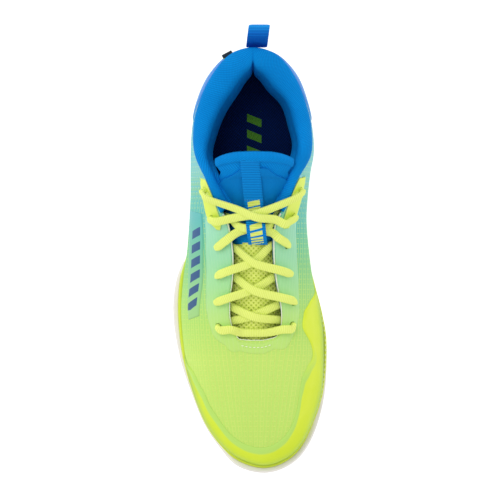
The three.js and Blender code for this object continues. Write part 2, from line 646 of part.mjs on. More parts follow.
// Label: a webbing strip down the middle of the tongue that also keeps the lace in place.
const labelSections = [
  [4.5, 1.9], [9, 5.2], [12.5, 9.1], [18, 9.1], [22, 4.4], [25, 3.0], [33, 2.2], [44, 2.0], [62, 0.6],
];
function addLabel() {
  const [start, end] = [labelSections[0][0], labelSections.at(-1)[0]];
  const across = [-1, 0, 1];
  const face = (lift) => range(17, start, end).map((y) => {
    const under = labelSections.findLastIndex(([place]) => place <= y);
    const p = Math.min(under, labelSections.length - 2);
    const share = (y - labelSections[p][0]) / (labelSections[p + 1][0] - labelSections[p][0]);
    const height = tableValue(labelSections, 1, p + share);
    const row = tongueRow(y * stretch.y);
    return across.map((side) => {
      const point = onTongue(row, 0, height + lift);
      const drop = (side * side * labelWidth) / 30;
      return point.add(new THREE.Vector3((side * labelWidth) / 2 - 0.1 * (y - 30), 0, -drop));
    });
  });
  add('tongue_label', skinGeometry(face(labelThickness), face(0), false), 'collar');
}

// Pull tab: a webbing loop that stands off the back of the heel.
function addPullTab() {
  const hole = tabLoopGap / 2;
  const rim = hole + tabThickness;
  const lean = THREE.MathUtils.degToRad(tabLeanDegrees);
  const capsule = (target, radius) => {
    target.absarc(0, 0, radius, Math.PI, 0, false);
    target.absarc(0, tabLength, radius, 0, Math.PI, false);
    target.closePath();
  };
  const loop = new THREE.Shape();
  capsule(loop, rim);
  const opening = new THREE.Path();
  capsule(opening, hole);
  loop.holes.push(opening);
  const band = new THREE.ExtrudeGeometry(loop, { depth: tabWidth, bevelEnabled: false, curveSegments: 8 });
  band.translate(0, 0, -tabWidth / 2);
  band.rotateZ(-lean);
  band.rotateX(Math.PI / 2);
  band.rotateZ(Math.PI / 2);
  const heel = onUpper(heelSection, 0.8, filmGap + filmThickness + gap);
  band.translate(heel.x + 2.4, heel.y + rim + 0.4, heel.z + 4);
  add('pull_tab', band, 'collar');
}

// Small woven tag caught in the collar seam beside the pull tab.
function addTag() {
  const tag = new THREE.BoxGeometry(tagSize.width, tagSize.length, tagSize.thickness);
  const seam = onUpper(15.9, 1, 0);
  tag.translate(0, 3.4, 0);
  tag.rotateZ(THREE.MathUtils.degToRad(tagSize.turnDegrees));
  tag.translate(seam.x, seam.y + 1.2 * stretch.y, seam.z + 1.4 * stretch.y);
  add('heel_tag', tag, 'tag');
}

// Lace: one flat lace through all the eyelets, with both ends tucked between tongue and lining.
const laceClearance = 0.6;
const overFilm = filmGap + filmThickness + laceClearance + laceDiameter / 2;
const overWing = overFilm + filmGap + filmThickness;
const underLining = -(meshThickness + gap + liningThickness + laceClearance + laceDiameter / 2);
const onPad = laceClearance + 0.3 + laceDiameter / 2;
const onLace = onPad + laceDiameter + gap;
const onPanel = onPad + gap + panelThickness;
const onLabel = 5;
const tucked = underLining - 2;

// Waypoints chosen along the route: on the upper at a, h and lift, or on the tongue at y, s and lift.
const laceRoute = [
  ['upper', 10.3, 0.4, tucked], ['upper', 9.3, 0.41, tucked], ['upper', 8.3, 0.42, tucked],
  ['upper', 7.3, 0.43, tucked], ['upper', 6.5, 0.45, tucked], ['upper', 6.1, 0.5, tucked],
  ['upper', 6.4, 0.55, tucked], ['upper', 7.2, 0.57, tucked], ['upper', 8.2, 0.58, tucked],
  ['upper', 9.2, 0.62, tucked], ['upper', 10.1, 0.7, underLining - 1.6],
  ['upper', 10.6, 0.8, underLining - 0.8],
  ['upper', 10.7, 0.86, underLining + 1.5], ['upper', 10.7, 0.86, overWing - 1.2],
  ['upper', 10.65, 0.92, overWing], ['upper', 10.5, 1.0, overWing], ['tongue', 32, -0.6, onLabel + 3],
  ['tongue', 26.5, 0.05, onLabel + onLace - onPad + 1.8], ['tongue', 24, 0.6, onLabel + 4],
  ['upper', 24.73, 1.0, overWing + 0.6],
  ['upper', 24.72, 0.9, overWing], ['upper', 24.6, 0.8, overWing],
  ['upper', 24.58, 0.74, overWing - 1.2], ['upper', 24.58, 0.74, underLining + 1.5],
  ['upper', 24.65, 0.8, underLining], ['upper', 24.7, 0.95, underLining],
  ['tongue', 17.5, 0.5, onPanel + 0.8],
  ['tongue', 16.6, 0.05, onPanel], ['tongue', 14, -0.5, onPanel + 1.4], ['upper', 8.55, 1.0, overFilm],
  ['upper', 8.3, 0.86, overFilm], ['upper', 8.22, 0.8, overFilm - 1.2],
  ['upper', 8.22, 0.8, underLining + 1.5],
  ['upper', 8.2, 0.86, underLining], ['upper', 8.15, 0.99, underLining], ['tongue', -7, 0, onLace],
  ['upper', 26.55, 1.0, overFilm], ['upper', 26.7, 0.84, overFilm], ['upper', 26.76, 0.76, overFilm - 1.2],
  ['upper', 26.76, 0.76, underLining + 1.5], ['upper', 26.85, 0.84, underLining],
  ['upper', 26.95, 0.99, underLining], ['tongue', -26, 0, onPad], ['upper', 6.3, 1.0, overFilm],
  ['upper', 6.18, 0.87, overFilm], ['upper', 6.14, 0.81, overFilm - 1.2],
  ['upper', 6.14, 0.81, underLining + 1.5],
  ['upper', 6.0, 0.87, underLining], ['upper', 5.75, 0.99, underLining], ['tongue', -44, 0, onLace],
  ['upper', 29.3, 0.99, underLining], ['upper', 29.2, 0.9, underLining],
  ['upper', 29.13, 0.83, underLining + 1.5],
  ['upper', 29.13, 0.83, overFilm - 1.2], ['upper', 29.4, 0.88, overFilm], ['upper', 29.7, 0.99, overFilm],
  ['tongue', -56, 0.3, onPad + 0.5], ['tongue', -56, -0.3, onPad + 0.5],
  ['upper', 4.45, 0.99, overFilm], ['upper', 4.75, 0.88, overFilm], ['upper', 5.03, 0.82, overFilm - 1.2],
  ['upper', 5.03, 0.82, underLining + 1.5], ['upper', 4.95, 0.88, underLining],
  ['upper', 4.8, 0.99, underLining],
  ['tongue', -44, 0, onPad], ['upper', 28.15, 0.99, underLining], ['upper', 28.0, 0.84, underLining],
  ['upper', 27.87, 0.76, underLining + 1.5], ['upper', 27.87, 0.76, overFilm - 1.2],
  ['upper', 27.8, 0.84, overFilm], ['upper', 27.7, 1.0, overFilm], ['tongue', -26, 0, onLace],
  ['upper', 7.05, 0.99, underLining], ['upper', 7.1, 0.86, underLining],
  ['upper', 7.15, 0.795, underLining + 1.5],
  ['upper', 7.15, 0.795, overFilm - 1.2], ['upper', 7.25, 0.86, overFilm], ['upper', 7.45, 1.0, overFilm],
  ['tongue', -7, 0, onPad], ['upper', 25.75, 0.99, underLining], ['upper', 25.75, 0.86, underLining],
  ['upper', 25.74, 0.78, underLining + 1.5], ['upper', 25.74, 0.78, overFilm - 1.2],
  ['upper', 25.6, 0.86, overFilm], ['upper', 25.4, 1.0, overFilm], ['tongue', 14, 0.5, onPanel + 2],
  ['tongue', 16.6, -0.05, onPanel + laceDiameter + gap], ['tongue', 18, -0.5, onPanel + 1.8],
  ['upper', 9.2, 0.97, underLining],
  ['upper', 9.28, 0.86, underLining], ['upper', 9.32, 0.78, underLining + 1.5],
  ['upper', 9.32, 0.78, overWing - 1.2], ['upper', 9.34, 0.86, overWing], ['upper', 9.4, 0.97, overWing],
  ['tongue', 25, -0.6, onLabel + 3.2], ['tongue', 27, 0, onLabel + 1.5], ['tongue', 32, 0.6, onLabel + 2],
  ['upper', 23.55, 1.0, overWing], ['upper', 23.42, 0.9, overWing], ['upper', 23.4, 0.83, overWing - 1.2],
  ['upper', 23.4, 0.83, underLining + 1.5], ['upper', 23.5, 0.77, underLining - 0.8],
  ['upper', 24.0, 0.7, underLining - 1.6], ['upper', 24.8, 0.62, tucked], ['upper', 25.8, 0.58, tucked],
  ['upper', 26.7, 0.56, tucked], ['upper', 27.5, 0.53, tucked], ['upper', 27.8, 0.48, tucked],
  ['upper', 27.4, 0.44, tucked], ['upper', 26.6, 0.42, tucked], ['upper', 25.7, 0.4, tucked],
  ['upper', 24.7, 0.38, tucked],
];

// Curve that keeps one step for each waypoint, so that bends at the eyelets stay where they are.
class LaceCurve extends THREE.CatmullRomCurve3 {
  getUtoTmapping(u) {
    return u;
  }
}

function wayPoint([place, u, v, lift]) {
  return place === 'upper' ? onUpper(u, v, lift) : onTongue(tongueRow(u * stretch.y), v, lift);
}

function roundSection(radius, sides) {
  return new THREE.Shape(range(sides + 1, 0, 2 * Math.PI).slice(0, sides)
    .map((turn) => new THREE.Vector2(radius * Math.cos(turn), radius * Math.sin(turn))));
}

function addLace() {
  const points = laceRoute.map(wayPoint);
  const extrudePath = new LaceCurve(points);
  add('lace', new THREE.ExtrudeGeometry(roundSection(laceDiameter / 2, 8),
    { steps: points.length - 1, extrudePath, bevelEnabled: false }), 'lace');
  const ends = { lateral: [points[0], points[1]], medial: [points.at(-1), points.at(-2)] };
  for (const [side, [tip, before]] of Object.entries(ends)) {
    const along = tip.clone().sub(before).normalize();
    const start = tip.clone().addScaledVector(along, gap);
    const path = new THREE.LineCurve3(start, start.clone().addScaledVector(along, agletLength));
    add(`aglet_${side}`, new THREE.ExtrudeGeometry(roundSection(agletDiameter / 2, 8),
      { steps: 1, extrudePath: path, bevelEnabled: false }), 'aglet');
  }
}

addOutsoles();
addShank();
addMidsole();
addBoard();
addSockliner();
addUpper();
addLining();
addStiffeners();
addFilms();
addCollar();
addTongue();
addLabel();
addLace();
addPullTab();
addTag();

// The origin is the middle of the whole shoe's box, on the ground.
const whole = new THREE.Box3().setFromObject(shoe);
const middle = whole.getCenter(new THREE.Vector3());
shoe.children.forEach((mesh) => mesh.position.set(-middle.x, -middle.y, -whole.min.z));

export default shoe;
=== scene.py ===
# Court shoe, right foot: knit upper with glossy films, padded collar, flat lace, rubber sole.
import json
import math

import bpy
import numpy as np
from mathutils import Vector
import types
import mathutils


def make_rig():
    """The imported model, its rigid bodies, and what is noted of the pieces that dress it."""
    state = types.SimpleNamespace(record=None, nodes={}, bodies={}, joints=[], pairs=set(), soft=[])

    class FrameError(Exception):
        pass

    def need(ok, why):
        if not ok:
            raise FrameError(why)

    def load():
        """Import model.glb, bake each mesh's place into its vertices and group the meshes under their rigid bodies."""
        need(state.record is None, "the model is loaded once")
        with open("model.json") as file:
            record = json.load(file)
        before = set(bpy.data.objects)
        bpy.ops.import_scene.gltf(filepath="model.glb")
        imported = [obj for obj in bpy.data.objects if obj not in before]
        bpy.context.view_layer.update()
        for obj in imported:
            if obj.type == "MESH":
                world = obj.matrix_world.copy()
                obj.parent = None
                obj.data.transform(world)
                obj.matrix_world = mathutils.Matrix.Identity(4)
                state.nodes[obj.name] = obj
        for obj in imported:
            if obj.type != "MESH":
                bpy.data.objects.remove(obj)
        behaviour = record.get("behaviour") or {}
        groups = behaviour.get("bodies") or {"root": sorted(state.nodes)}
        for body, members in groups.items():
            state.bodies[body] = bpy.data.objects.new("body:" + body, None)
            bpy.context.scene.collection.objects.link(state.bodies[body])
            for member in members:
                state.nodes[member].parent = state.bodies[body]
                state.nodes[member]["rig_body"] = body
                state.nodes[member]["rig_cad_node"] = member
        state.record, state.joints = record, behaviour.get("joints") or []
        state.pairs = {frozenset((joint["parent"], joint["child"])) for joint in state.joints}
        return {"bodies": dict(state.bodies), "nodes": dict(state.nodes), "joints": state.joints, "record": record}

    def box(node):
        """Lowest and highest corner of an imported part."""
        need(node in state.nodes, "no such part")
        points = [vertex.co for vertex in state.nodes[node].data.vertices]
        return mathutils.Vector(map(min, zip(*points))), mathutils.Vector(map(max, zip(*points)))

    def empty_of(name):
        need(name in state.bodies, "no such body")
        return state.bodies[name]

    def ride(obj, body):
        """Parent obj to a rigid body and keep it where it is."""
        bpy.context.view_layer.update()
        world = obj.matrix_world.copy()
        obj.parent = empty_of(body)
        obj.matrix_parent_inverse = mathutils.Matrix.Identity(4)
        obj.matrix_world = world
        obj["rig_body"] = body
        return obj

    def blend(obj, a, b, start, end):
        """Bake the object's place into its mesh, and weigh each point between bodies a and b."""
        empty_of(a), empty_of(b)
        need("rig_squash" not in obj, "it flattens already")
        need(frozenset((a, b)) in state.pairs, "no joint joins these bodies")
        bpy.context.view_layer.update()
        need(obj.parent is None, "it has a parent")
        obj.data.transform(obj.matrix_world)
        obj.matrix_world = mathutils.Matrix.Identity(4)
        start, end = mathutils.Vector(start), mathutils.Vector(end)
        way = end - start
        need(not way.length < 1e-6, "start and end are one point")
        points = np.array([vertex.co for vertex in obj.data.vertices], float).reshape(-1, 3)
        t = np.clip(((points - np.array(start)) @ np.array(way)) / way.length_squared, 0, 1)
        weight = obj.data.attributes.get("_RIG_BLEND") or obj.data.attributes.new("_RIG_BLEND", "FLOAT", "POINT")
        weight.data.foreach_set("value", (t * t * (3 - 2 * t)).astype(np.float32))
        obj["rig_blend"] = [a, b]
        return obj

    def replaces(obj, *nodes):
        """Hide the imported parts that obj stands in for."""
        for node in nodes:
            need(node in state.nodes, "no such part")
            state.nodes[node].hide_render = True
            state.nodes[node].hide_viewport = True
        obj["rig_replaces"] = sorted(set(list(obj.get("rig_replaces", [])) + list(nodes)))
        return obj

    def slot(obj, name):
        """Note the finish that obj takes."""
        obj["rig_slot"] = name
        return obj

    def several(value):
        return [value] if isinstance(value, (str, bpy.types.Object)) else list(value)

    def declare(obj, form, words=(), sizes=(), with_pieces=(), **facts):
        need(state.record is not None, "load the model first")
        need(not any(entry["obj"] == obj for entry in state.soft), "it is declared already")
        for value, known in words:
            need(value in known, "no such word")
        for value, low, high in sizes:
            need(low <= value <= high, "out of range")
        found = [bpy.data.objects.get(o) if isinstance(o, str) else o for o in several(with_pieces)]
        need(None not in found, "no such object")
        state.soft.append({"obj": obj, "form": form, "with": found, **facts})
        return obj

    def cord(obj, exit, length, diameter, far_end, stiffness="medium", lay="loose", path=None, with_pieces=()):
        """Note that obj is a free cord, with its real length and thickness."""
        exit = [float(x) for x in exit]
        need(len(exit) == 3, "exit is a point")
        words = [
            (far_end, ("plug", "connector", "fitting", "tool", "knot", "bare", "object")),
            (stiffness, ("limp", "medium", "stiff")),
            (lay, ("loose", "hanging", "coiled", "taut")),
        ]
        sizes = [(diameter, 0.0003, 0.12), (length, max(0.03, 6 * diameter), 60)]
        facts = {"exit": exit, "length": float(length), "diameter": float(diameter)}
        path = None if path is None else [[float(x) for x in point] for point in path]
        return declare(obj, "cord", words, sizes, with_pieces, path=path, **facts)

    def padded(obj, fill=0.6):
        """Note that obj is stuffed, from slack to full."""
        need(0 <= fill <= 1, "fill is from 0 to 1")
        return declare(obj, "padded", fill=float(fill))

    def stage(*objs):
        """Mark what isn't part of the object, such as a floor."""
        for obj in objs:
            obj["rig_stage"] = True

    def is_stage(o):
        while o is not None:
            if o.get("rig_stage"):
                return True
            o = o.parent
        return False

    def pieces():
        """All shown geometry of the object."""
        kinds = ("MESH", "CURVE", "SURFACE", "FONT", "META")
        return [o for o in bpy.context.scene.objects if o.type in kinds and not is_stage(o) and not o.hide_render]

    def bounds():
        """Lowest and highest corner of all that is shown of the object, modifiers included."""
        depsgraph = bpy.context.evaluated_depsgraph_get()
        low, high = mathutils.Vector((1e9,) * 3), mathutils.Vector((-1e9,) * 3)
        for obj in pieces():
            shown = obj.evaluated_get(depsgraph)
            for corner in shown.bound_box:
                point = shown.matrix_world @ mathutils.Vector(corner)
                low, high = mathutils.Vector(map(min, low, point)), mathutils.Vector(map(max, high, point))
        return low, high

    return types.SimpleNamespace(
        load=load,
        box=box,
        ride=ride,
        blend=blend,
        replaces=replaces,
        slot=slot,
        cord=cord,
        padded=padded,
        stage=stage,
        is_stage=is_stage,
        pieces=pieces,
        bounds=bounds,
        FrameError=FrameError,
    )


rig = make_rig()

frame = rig.load()
cadBox = [list(corner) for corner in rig.bounds()]
mm = 0.001

# Same rows as the last in the CAD source: feather line x, y; top x, y, z; four for the curve between
# them; ledge; rubber; wall.
last = np.array([
    [8.3, -148.5, 4.8, -62.1, 59.0, 2.0, 24, 45, 9, 2.7, 3.5, 15],
    [-6.2, -144.2, 0.5, -62.1, 59.0, 2.0, 23, 43, 9, 2.7, 3.6, 15],
    [-17.6, -135.9, -4.1, -61.8, 59.0, 2.0, 22, 38, 8, 2.0, 1.6, 12],
    [-29.7, -120.0, -7.6, -61.1, 59.5, 2.0, 21, 31, 7, 1.5, 1.0, 9],
    [-39.0, -97.3, -10.7, -56.6, 60.5, 1.5, 20, 22, 6, 1.3, 1.2, 9],
    [-44.9, -73.1, -13.5, -48.3, 63.0, 0.5, 18, 16, 6, 1.9, 2.3, 11],
    [-47.7, -44.9, -14.1, -36.6, 66.0, 0.0, 18, 14, 7, 2.1, 3.6, 14],
    [-46.3, -20.7, -12.4, -20.7, 72.0, 0.5, 20, 14, 9, 2.2, 2.6, 12],
    [-42.8, 0.0, -12.1, -3.5, 78.0, 4.5, 22, 15, 12, 0.2, 0.0, 7],
    [-40.7, 20.7, -15.2, 16.6, 84.0, 6.0, 24, 12, 14, -1.0, -0.6, 6],
    [-40.0, 38.0, -21.4, 29.0, 88.0, 5.0, 25, 9, 17, -1.2, -0.6, 6],
    [-40.0, 55.0, -28.3, 45.5, 91.0, 4.0, 22, 7, 20, -1.2, -0.4, 6],
    [-39.5, 69.0, -36.9, 64.9, 84.0, 3.0, 16, 3, 16, -1.0, -0.2, 6],
    [-37.5, 86.3, -37.6, 84.2, 76.5, 3.0, 13, 2.5, 13, -0.8, 0.0, 6],
    [-33.5, 103.5, -32.4, 100.7, 75.0, 4.0, 12, 3.5, 13, -0.6, 0.0, 6],
    [-25.5, 119.0, -23.8, 116.6, 79.0, 5.0, 13, 5.0, 15, -0.4, 0.0, 7],
    [-12.4, 130.0, -12.0, 129.0, 86.0, 6.5, 15, 6.0, 17, -0.2, 0.0, 8],
    [2.1, 134.0, 2.1, 133.0, 91.0, 6.0, 18, 6.0, 20, 0.0, 0.0, 9],
    [16.6, 130.0, 16.6, 129.0, 86.0, 6.5, 15, 6.0, 17, -0.2, 0.0, 8],
    [29.5, 119.0, 28.0, 116.6, 79.0, 5.0, 13, 5.0, 15, -0.4, 0.0, 7],
    [36.5, 103.5, 35.8, 100.7, 75.0, 4.0, 12, 3.5, 13, -0.6, 0.0, 6],
    [40.5, 86.3, 41.0, 84.2, 77.0, 3.0, 13, 2.5, 13, -0.8, 0.0, 6],
    [40.5, 69.0, 41.0, 64.9, 86.0, 4.5, 16, 4, 16, -1.0, -0.2, 6],
    [38.6, 55.2, 31.8, 47.5, 92.0, 7.0, 22, 8, 20, -1.2, -0.4, 6],
    [37.3, 38.0, 24.6, 30.0, 89.0, 8.0, 25, 9, 18, -1.2, -0.6, 6],
    [36.6, 20.7, 17.8, 16.6, 85.0, 9.0, 26, 11, 15, -1.0, -0.6, 6],
    [38.6, 0.0, 16.9, -3.5, 79.0, 8.5, 25, 12, 13, 0.4, 0.0, 6],
    [43.5, -24.2, 18.6, -20.7, 73.0, 4.5, 22, 11, 10, 1.6, 0.0, 6],
    [48.7, -44.9, 21.4, -36.6, 67.0, 1.0, 18, 11, 8, 1.7, 0.0, 6],
    [50.6, -65.6, 22.1, -46.9, 64.0, 0.5, 18, 14, 7, 2.7, 0.2, 6],
    [49.3, -97.3, 20.7, -55.2, 61.0, 1.0, 19, 22, 6, 1.8, 1.4, 9],
    [41.7, -121.4, 17.9, -59.7, 59.5, 1.5, 21, 32, 7, 1.6, 3.4, 13],
    [32.8, -137.3, 12.4, -61.4, 59.0, 2.0, 22, 38, 8, 2.0, 3.6, 15],
    [21.4, -145.6, 8.6, -62.1, 59.0, 2.0, 23, 43, 9, 2.7, 3.6, 15],
])
sections = len(last)
heelSection = 17
collarFirst = 9
collar = np.array([
    [-10.9, 22.0, 0.8, 3], [-16.6, 35.0, 1.5, 3], [-23.8, 50.0, 4.0, 5], [-29.0, 64.9, 7.0, 24],
    [-25.9, 81.0, 8.0, 26], [-20.0, 95.9, 8.0, 26], [-11.7, 109.0, 8.0, 28], [-4.3, 119.4, 7.0, 31],
    [2.1, 123.5, 6.0, 34], [8.6, 119.9, 7.0, 31], [15.9, 111.1, 8.0, 28], [25.2, 100.0, 8.0, 26],
    [29.7, 85.6, 8.0, 26], [32.4, 69.9, 7.0, 24], [27.6, 53.8, 4.0, 5], [21.0, 38.0, 1.5, 3],
    [16.6, 22.0, 0.8, 3],
])
tongue = np.array([
    [-80, 49.0, 22, 7.0], [-66, 54.0, 24, 8.5], [-50, 59.3, 25, 13.5], [-36, 64.2, 25, 15.5],
    [-20, 69.7, 24, 15.5], [0, 76.8, 20, 15.0], [15, 83.0, 16, 11.0], [30, 89.5, 15, 8.0],
    [45, 98.5, 18, 5.5], [56, 106.0, 26, 7.0], [66, 113.0, 29, 8.0],
])
tongueCentre = 3
foldPlace = 51
shell = {"mesh": 1.4, "lining": 0.9, "film": 0.7, "filmGap": 0.75, "gap": 0.35}


def catmull(v0, v1, v2, v3, t):
    slope = 2 * v1 + (v2 - v0) * t
    bend = (2 * v0 - 5 * v1 + 4 * v2 - v3) * t * t
    twist = (3 * v1 - v0 - 3 * v2 + v3) * t * t * t
    return 0.5 * (slope + bend + twist)


def lastValue(column, a):  # value round the shoe at section number a
    a = np.asarray(a, float) % sections
    i = np.floor(a).astype(int)
    at = [last[(i + k) % sections, column] for k in (-1, 0, 1, 2)]
    return catmull(*at, a - i)


def tableValue(table, column, p):  # value in an open table at row p
    top = len(table) - 1
    p = np.asarray(p, float)
    i = np.clip(np.floor(p).astype(int), 0, top - 1)
    at = [table[np.clip(i + k, 0, top), column] for k in (-1, 0, 1, 2)]
    return catmull(*at, p - i)


def smooth(x, low, high):
    t = np.clip((np.asarray(x, float) - low) / (high - low), 0, 1)
    return t * t * (3 - 2 * t)


def midsoleTop(y):
    toe = np.maximum(0, (-100 - y) / 50)
    return 21 + 11 * smooth(y, -60, 100) + 4 * toe * toe


def outsoleBottom(y):
    toe = np.maximum(0, (-92 - y) / 60)
    heel = np.maximum(0, (y - 105) / 30)
    return 8 * toe * toe + 3 * heel * heel


def stack(*parts):
    return np.stack(np.broadcast_arrays(*parts), axis=-1)


def feather(a):
    y = lastValue(1, a)
    return stack(lastValue(0, a), y, midsoleTop(y) + shell["gap"])


def unit(v):
    return v / np.maximum(np.linalg.norm(v, axis=-1, keepdims=True), 1e-9)


def outward(a):
    a = np.asarray(a, float)
    step = feather(a + 0.05) - feather(a - 0.05)
    return unit(stack(-step[..., 1], step[..., 0], np.zeros_like(a)))


def upperPoint(a, h):
    a, h = np.broadcast_arrays(np.asarray(a, float), np.asarray(h, float))
    foot = feather(a)
    top = stack(lastValue(2, a), lastValue(3, a), lastValue(4, a))
    out = outward(a)
    flat = np.array([1, 1, 0])
    reach = unit((foot - top) * flat + out * 30)
    up = np.array([0, 0, 1.0])
    low = foot + out * lastValue(5, a)[..., None] + up * lastValue(6, a)[..., None]
    high = top + reach * lastValue(7, a)[..., None] - up * lastValue(8, a)[..., None]
    k = (1 - h)[..., None]
    h = h[..., None]
    return foot * k**3 + low * 3 * k * k * h + high * 3 * k * h * h + top * h**3


def upperNormal(a, h):
    a, h = np.broadcast_arrays(np.asarray(a, float), np.asarray(h, float))
    along = upperPoint(a + 0.1, h) - upperPoint(a - 0.1, h)
    up = upperPoint(a, np.minimum(h + 0.02, 1)) - upperPoint(a, np.maximum(h - 0.02, 0))
    return unit(np.cross(up, along))


def onUpper(a, h, lift):
    a, h, lift = np.broadcast_arrays(a, h, lift)
    return upperPoint(a, h) + upperNormal(a, h) * lift[..., None]


def tonguePoint(p, s):
    drop = tableValue(tongue, 3, p)
    x = tongueCentre + tableValue(tongue, 2, p) * s
    return stack(x, tableValue(tongue, 0, p), tableValue(tongue, 1, p) - drop * s * s)


def onTongue(p, s, lift):
    p, s, lift = np.broadcast_arrays(np.asarray(p, float), np.asarray(s, float), lift)
    along = tonguePoint(p + 0.05, s) - tonguePoint(p - 0.05, s)
    across = tonguePoint(p, s + 0.05) - tonguePoint(p, s - 0.05)
    return tonguePoint(p, s) + unit(np.cross(across, along)) * lift[..., None]


def tongueRow(y):  # table row at a distance along the shoe
    rows = np.linspace(0, len(tongue) - 1, 2001)
    return np.interp(y, tableValue(tongue, 0, rows), rows)


def edgeHeight(edge, a):
    edge = np.array(edge)
    return np.interp(a, edge[:, 0], edge[:, 1])


def softEdge(edge, a):  # the same edge without its corners
    offsets = np.linspace(-0.1, 0.1, 5)
    return np.mean([edgeHeight(edge, a + o) for o in offsets], axis=0)


# The CAD model's own origin is the middle of its box, so the rows are moved by what the midsole shows.
roundShoe = np.arange(56) * sections / 56
ledge = feather(roundShoe) + outward(roundShoe) * lastValue(9, roundShoe)[:, None]
lowCorner, highCorner = [np.array(corner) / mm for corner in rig.box("midsole")]
shift = (lowCorner + highCorner) / 2 - (ledge.min(axis=0) + ledge.max(axis=0)) / 2
shift[2] = 0


def linear(hexColour):
    value = hexColour.lstrip("#")
    srgb = [int(value[i:i + 2], 16) / 255 for i in (0, 2, 4)]
    return [c / 12.92 if c <= 0.04045 else ((c + 0.055) / 1.055) ** 2.4 for c in srgb] + [1]


# Camera straight above the shoe, toe towards the viewer.
studio = {"cameraHeight": 3.6, "viewWidth": 0.345, "viewPlane": 0.045, "centreY": 0.0007,
          "sky": 0.78, "sun": 0.75, "sunAngle": 30, "floor": "#c8c8c8", "floorGlow": 0.7}
scene = bpy.context.scene
scene.view_settings.view_transform = "Standard"
cameraData = bpy.data.cameras.new("camera")
cameraData.sensor_width = 36
cameraData.lens = 36 * (studio["cameraHeight"] - studio["viewPlane"]) / studio["viewWidth"]
cameraData.clip_end = 20
camera = bpy.data.objects.new("camera", cameraData)
camera.location = (0, studio["centreY"], studio["cameraHeight"])
scene.collection.objects.link(camera)
scene.camera = camera


def addNode(tree, kind, settings=(), links=()):
    node = tree.nodes.new(kind)
    for name, value in dict(settings).items():
        if isinstance(name, int) or name in node.inputs:
            node.inputs[name].default_value = value
        else:
            setattr(node, name, value)
    for name, socket in dict(links).items():
        tree.links.new(socket, node.inputs[name])
    return node


matt = {"Specular IOR Level": 0.08}


def newMaterial(name, colour, roughness, settings=()):
    material = bpy.data.materials.new(name)
    material.use_nodes = True
    shader = material.node_tree.nodes["Principled BSDF"]
    shader.inputs["Base Color"].default_value = linear(colour)
    shader.inputs["Roughness"].default_value = roughness
    for key, value in dict(settings).items():
        shader.inputs[key].default_value = value
    return material, material.node_tree


def calculate(tree, operation, *values):
    node = addNode(tree, "ShaderNodeMath", {"operation": operation})
    for index, value in enumerate(values):
        if isinstance(value, bpy.types.NodeSocket):
            tree.links.new(value, node.inputs[index])
        else:
            node.inputs[index].default_value = value
    return node.outputs[0]


def times(tree, first, second):
    return calculate(tree, "MULTIPLY", first, second)


def mixColour(tree, factor, first, second):
    node = addNode(tree, "ShaderNodeMix", {"data_type": "RGBA"})
    for index, value in ((0, factor), (6, first), (7, second)):
        if isinstance(value, bpy.types.NodeSocket):
            tree.links.new(value, node.inputs[index])
        else:
            node.inputs[index].default_value = value if index == 0 else linear(value)
    return node.outputs[2]


def mapped(tree, turn=0.0):  # the piece's own map, in millimetres
    place = addNode(tree, "ShaderNodeUVMap", {"uv_map": "cloth"})
    turned = addNode(tree, "ShaderNodeMapping", {"Rotation": (0, 0, turn)}, {"Vector": place.outputs["UV"]})
    split = addNode(tree, "ShaderNodeSeparateXYZ", links={0: turned.outputs["Vector"]})
    return split.outputs["X"], split.outputs["Y"]


def objectPlace(tree):
    return addNode(tree, "ShaderNodeTexCoord").outputs["Object"]


def placeAlong(tree, axis):
    return addNode(tree, "ShaderNodeSeparateXYZ", links={0: objectPlace(tree)}).outputs[axis]


def inside(tree, value, low, high):  # 1 between two values, 0 elsewhere
    return times(tree, calculate(tree, "GREATER_THAN", value, low), calculate(tree, "LESS_THAN", value, high))


def between(tree, value, low, high, start=0.0, end=1.0):
    settings = {"From Min": low, "From Max": high, "To Min": start, "To Max": end}
    return addNode(tree, "ShaderNodeMapRange", settings, {"Value": value}).outputs["Result"]


def ribs(tree, along, spacing):  # 0 to 1, one rib each spacing
    turn = times(tree, along, 2 * math.pi / spacing)
    return calculate(tree, "MULTIPLY_ADD", calculate(tree, "SINE", turn), 0.5, 0.5)


def noise(tree, size, detail=2.0):  # mottling of about one size, in millimetres
    return addNode(tree, "ShaderNodeTexNoise", {"Scale": 1 / (size * mm), "Detail": detail},
                   {"Vector": objectPlace(tree)}).outputs["Fac"]


def coat(material, colour, height, depth):  # colour and relief, depth in millimetres
    tree = material.node_tree
    shader = tree.nodes["Principled BSDF"]
    if colour:
        tree.links.new(colour, shader.inputs["Base Color"])
    node = addNode(tree, "ShaderNodeBump", {"Distance": depth * mm}, {"Height": height})
    tree.links.new(node.outputs["Normal"], shader.inputs["Normal"])
    return material


def ramp(tree, axis, stops):  # colour along one axis, from stops of millimetres and hex colour
    low, high = stops[0][0], stops[-1][0]
    share = between(tree, placeAlong(tree, axis), low * mm, high * mm)
    node = addNode(tree, "ShaderNodeValToRGB", links={"Fac": share})
    elements = node.color_ramp.elements
    while len(elements) < len(stops):
        elements.new(0.5)
    for element, (y, colour) in zip(elements, stops):
        element.position = (y - low) / (high - low)
        element.color = linear(colour)
    return node.outputs["Color"]


def selectOnly(*pieces):
    bpy.ops.object.select_all(action="DESELECT")
    for piece in pieces:
        piece.select_set(True)
    bpy.context.view_layer.objects.active = pieces[-1]


def editMesh(piece, operator, **settings):  # one mesh operator on the whole piece
    selectOnly(piece)
    bpy.ops.object.mode_set(mode="EDIT")
    bpy.ops.mesh.select_all(action="SELECT")
    operator(**settings)
    bpy.ops.object.mode_set(mode="OBJECT")


def applyModifier(piece, kind, **settings):
    selectOnly(piece)
    modifier = piece.modifiers.new(kind, kind)
    for key, value in settings.items():
        setattr(modifier, key, value)
    bpy.ops.object.modifier_apply(modifier=kind)


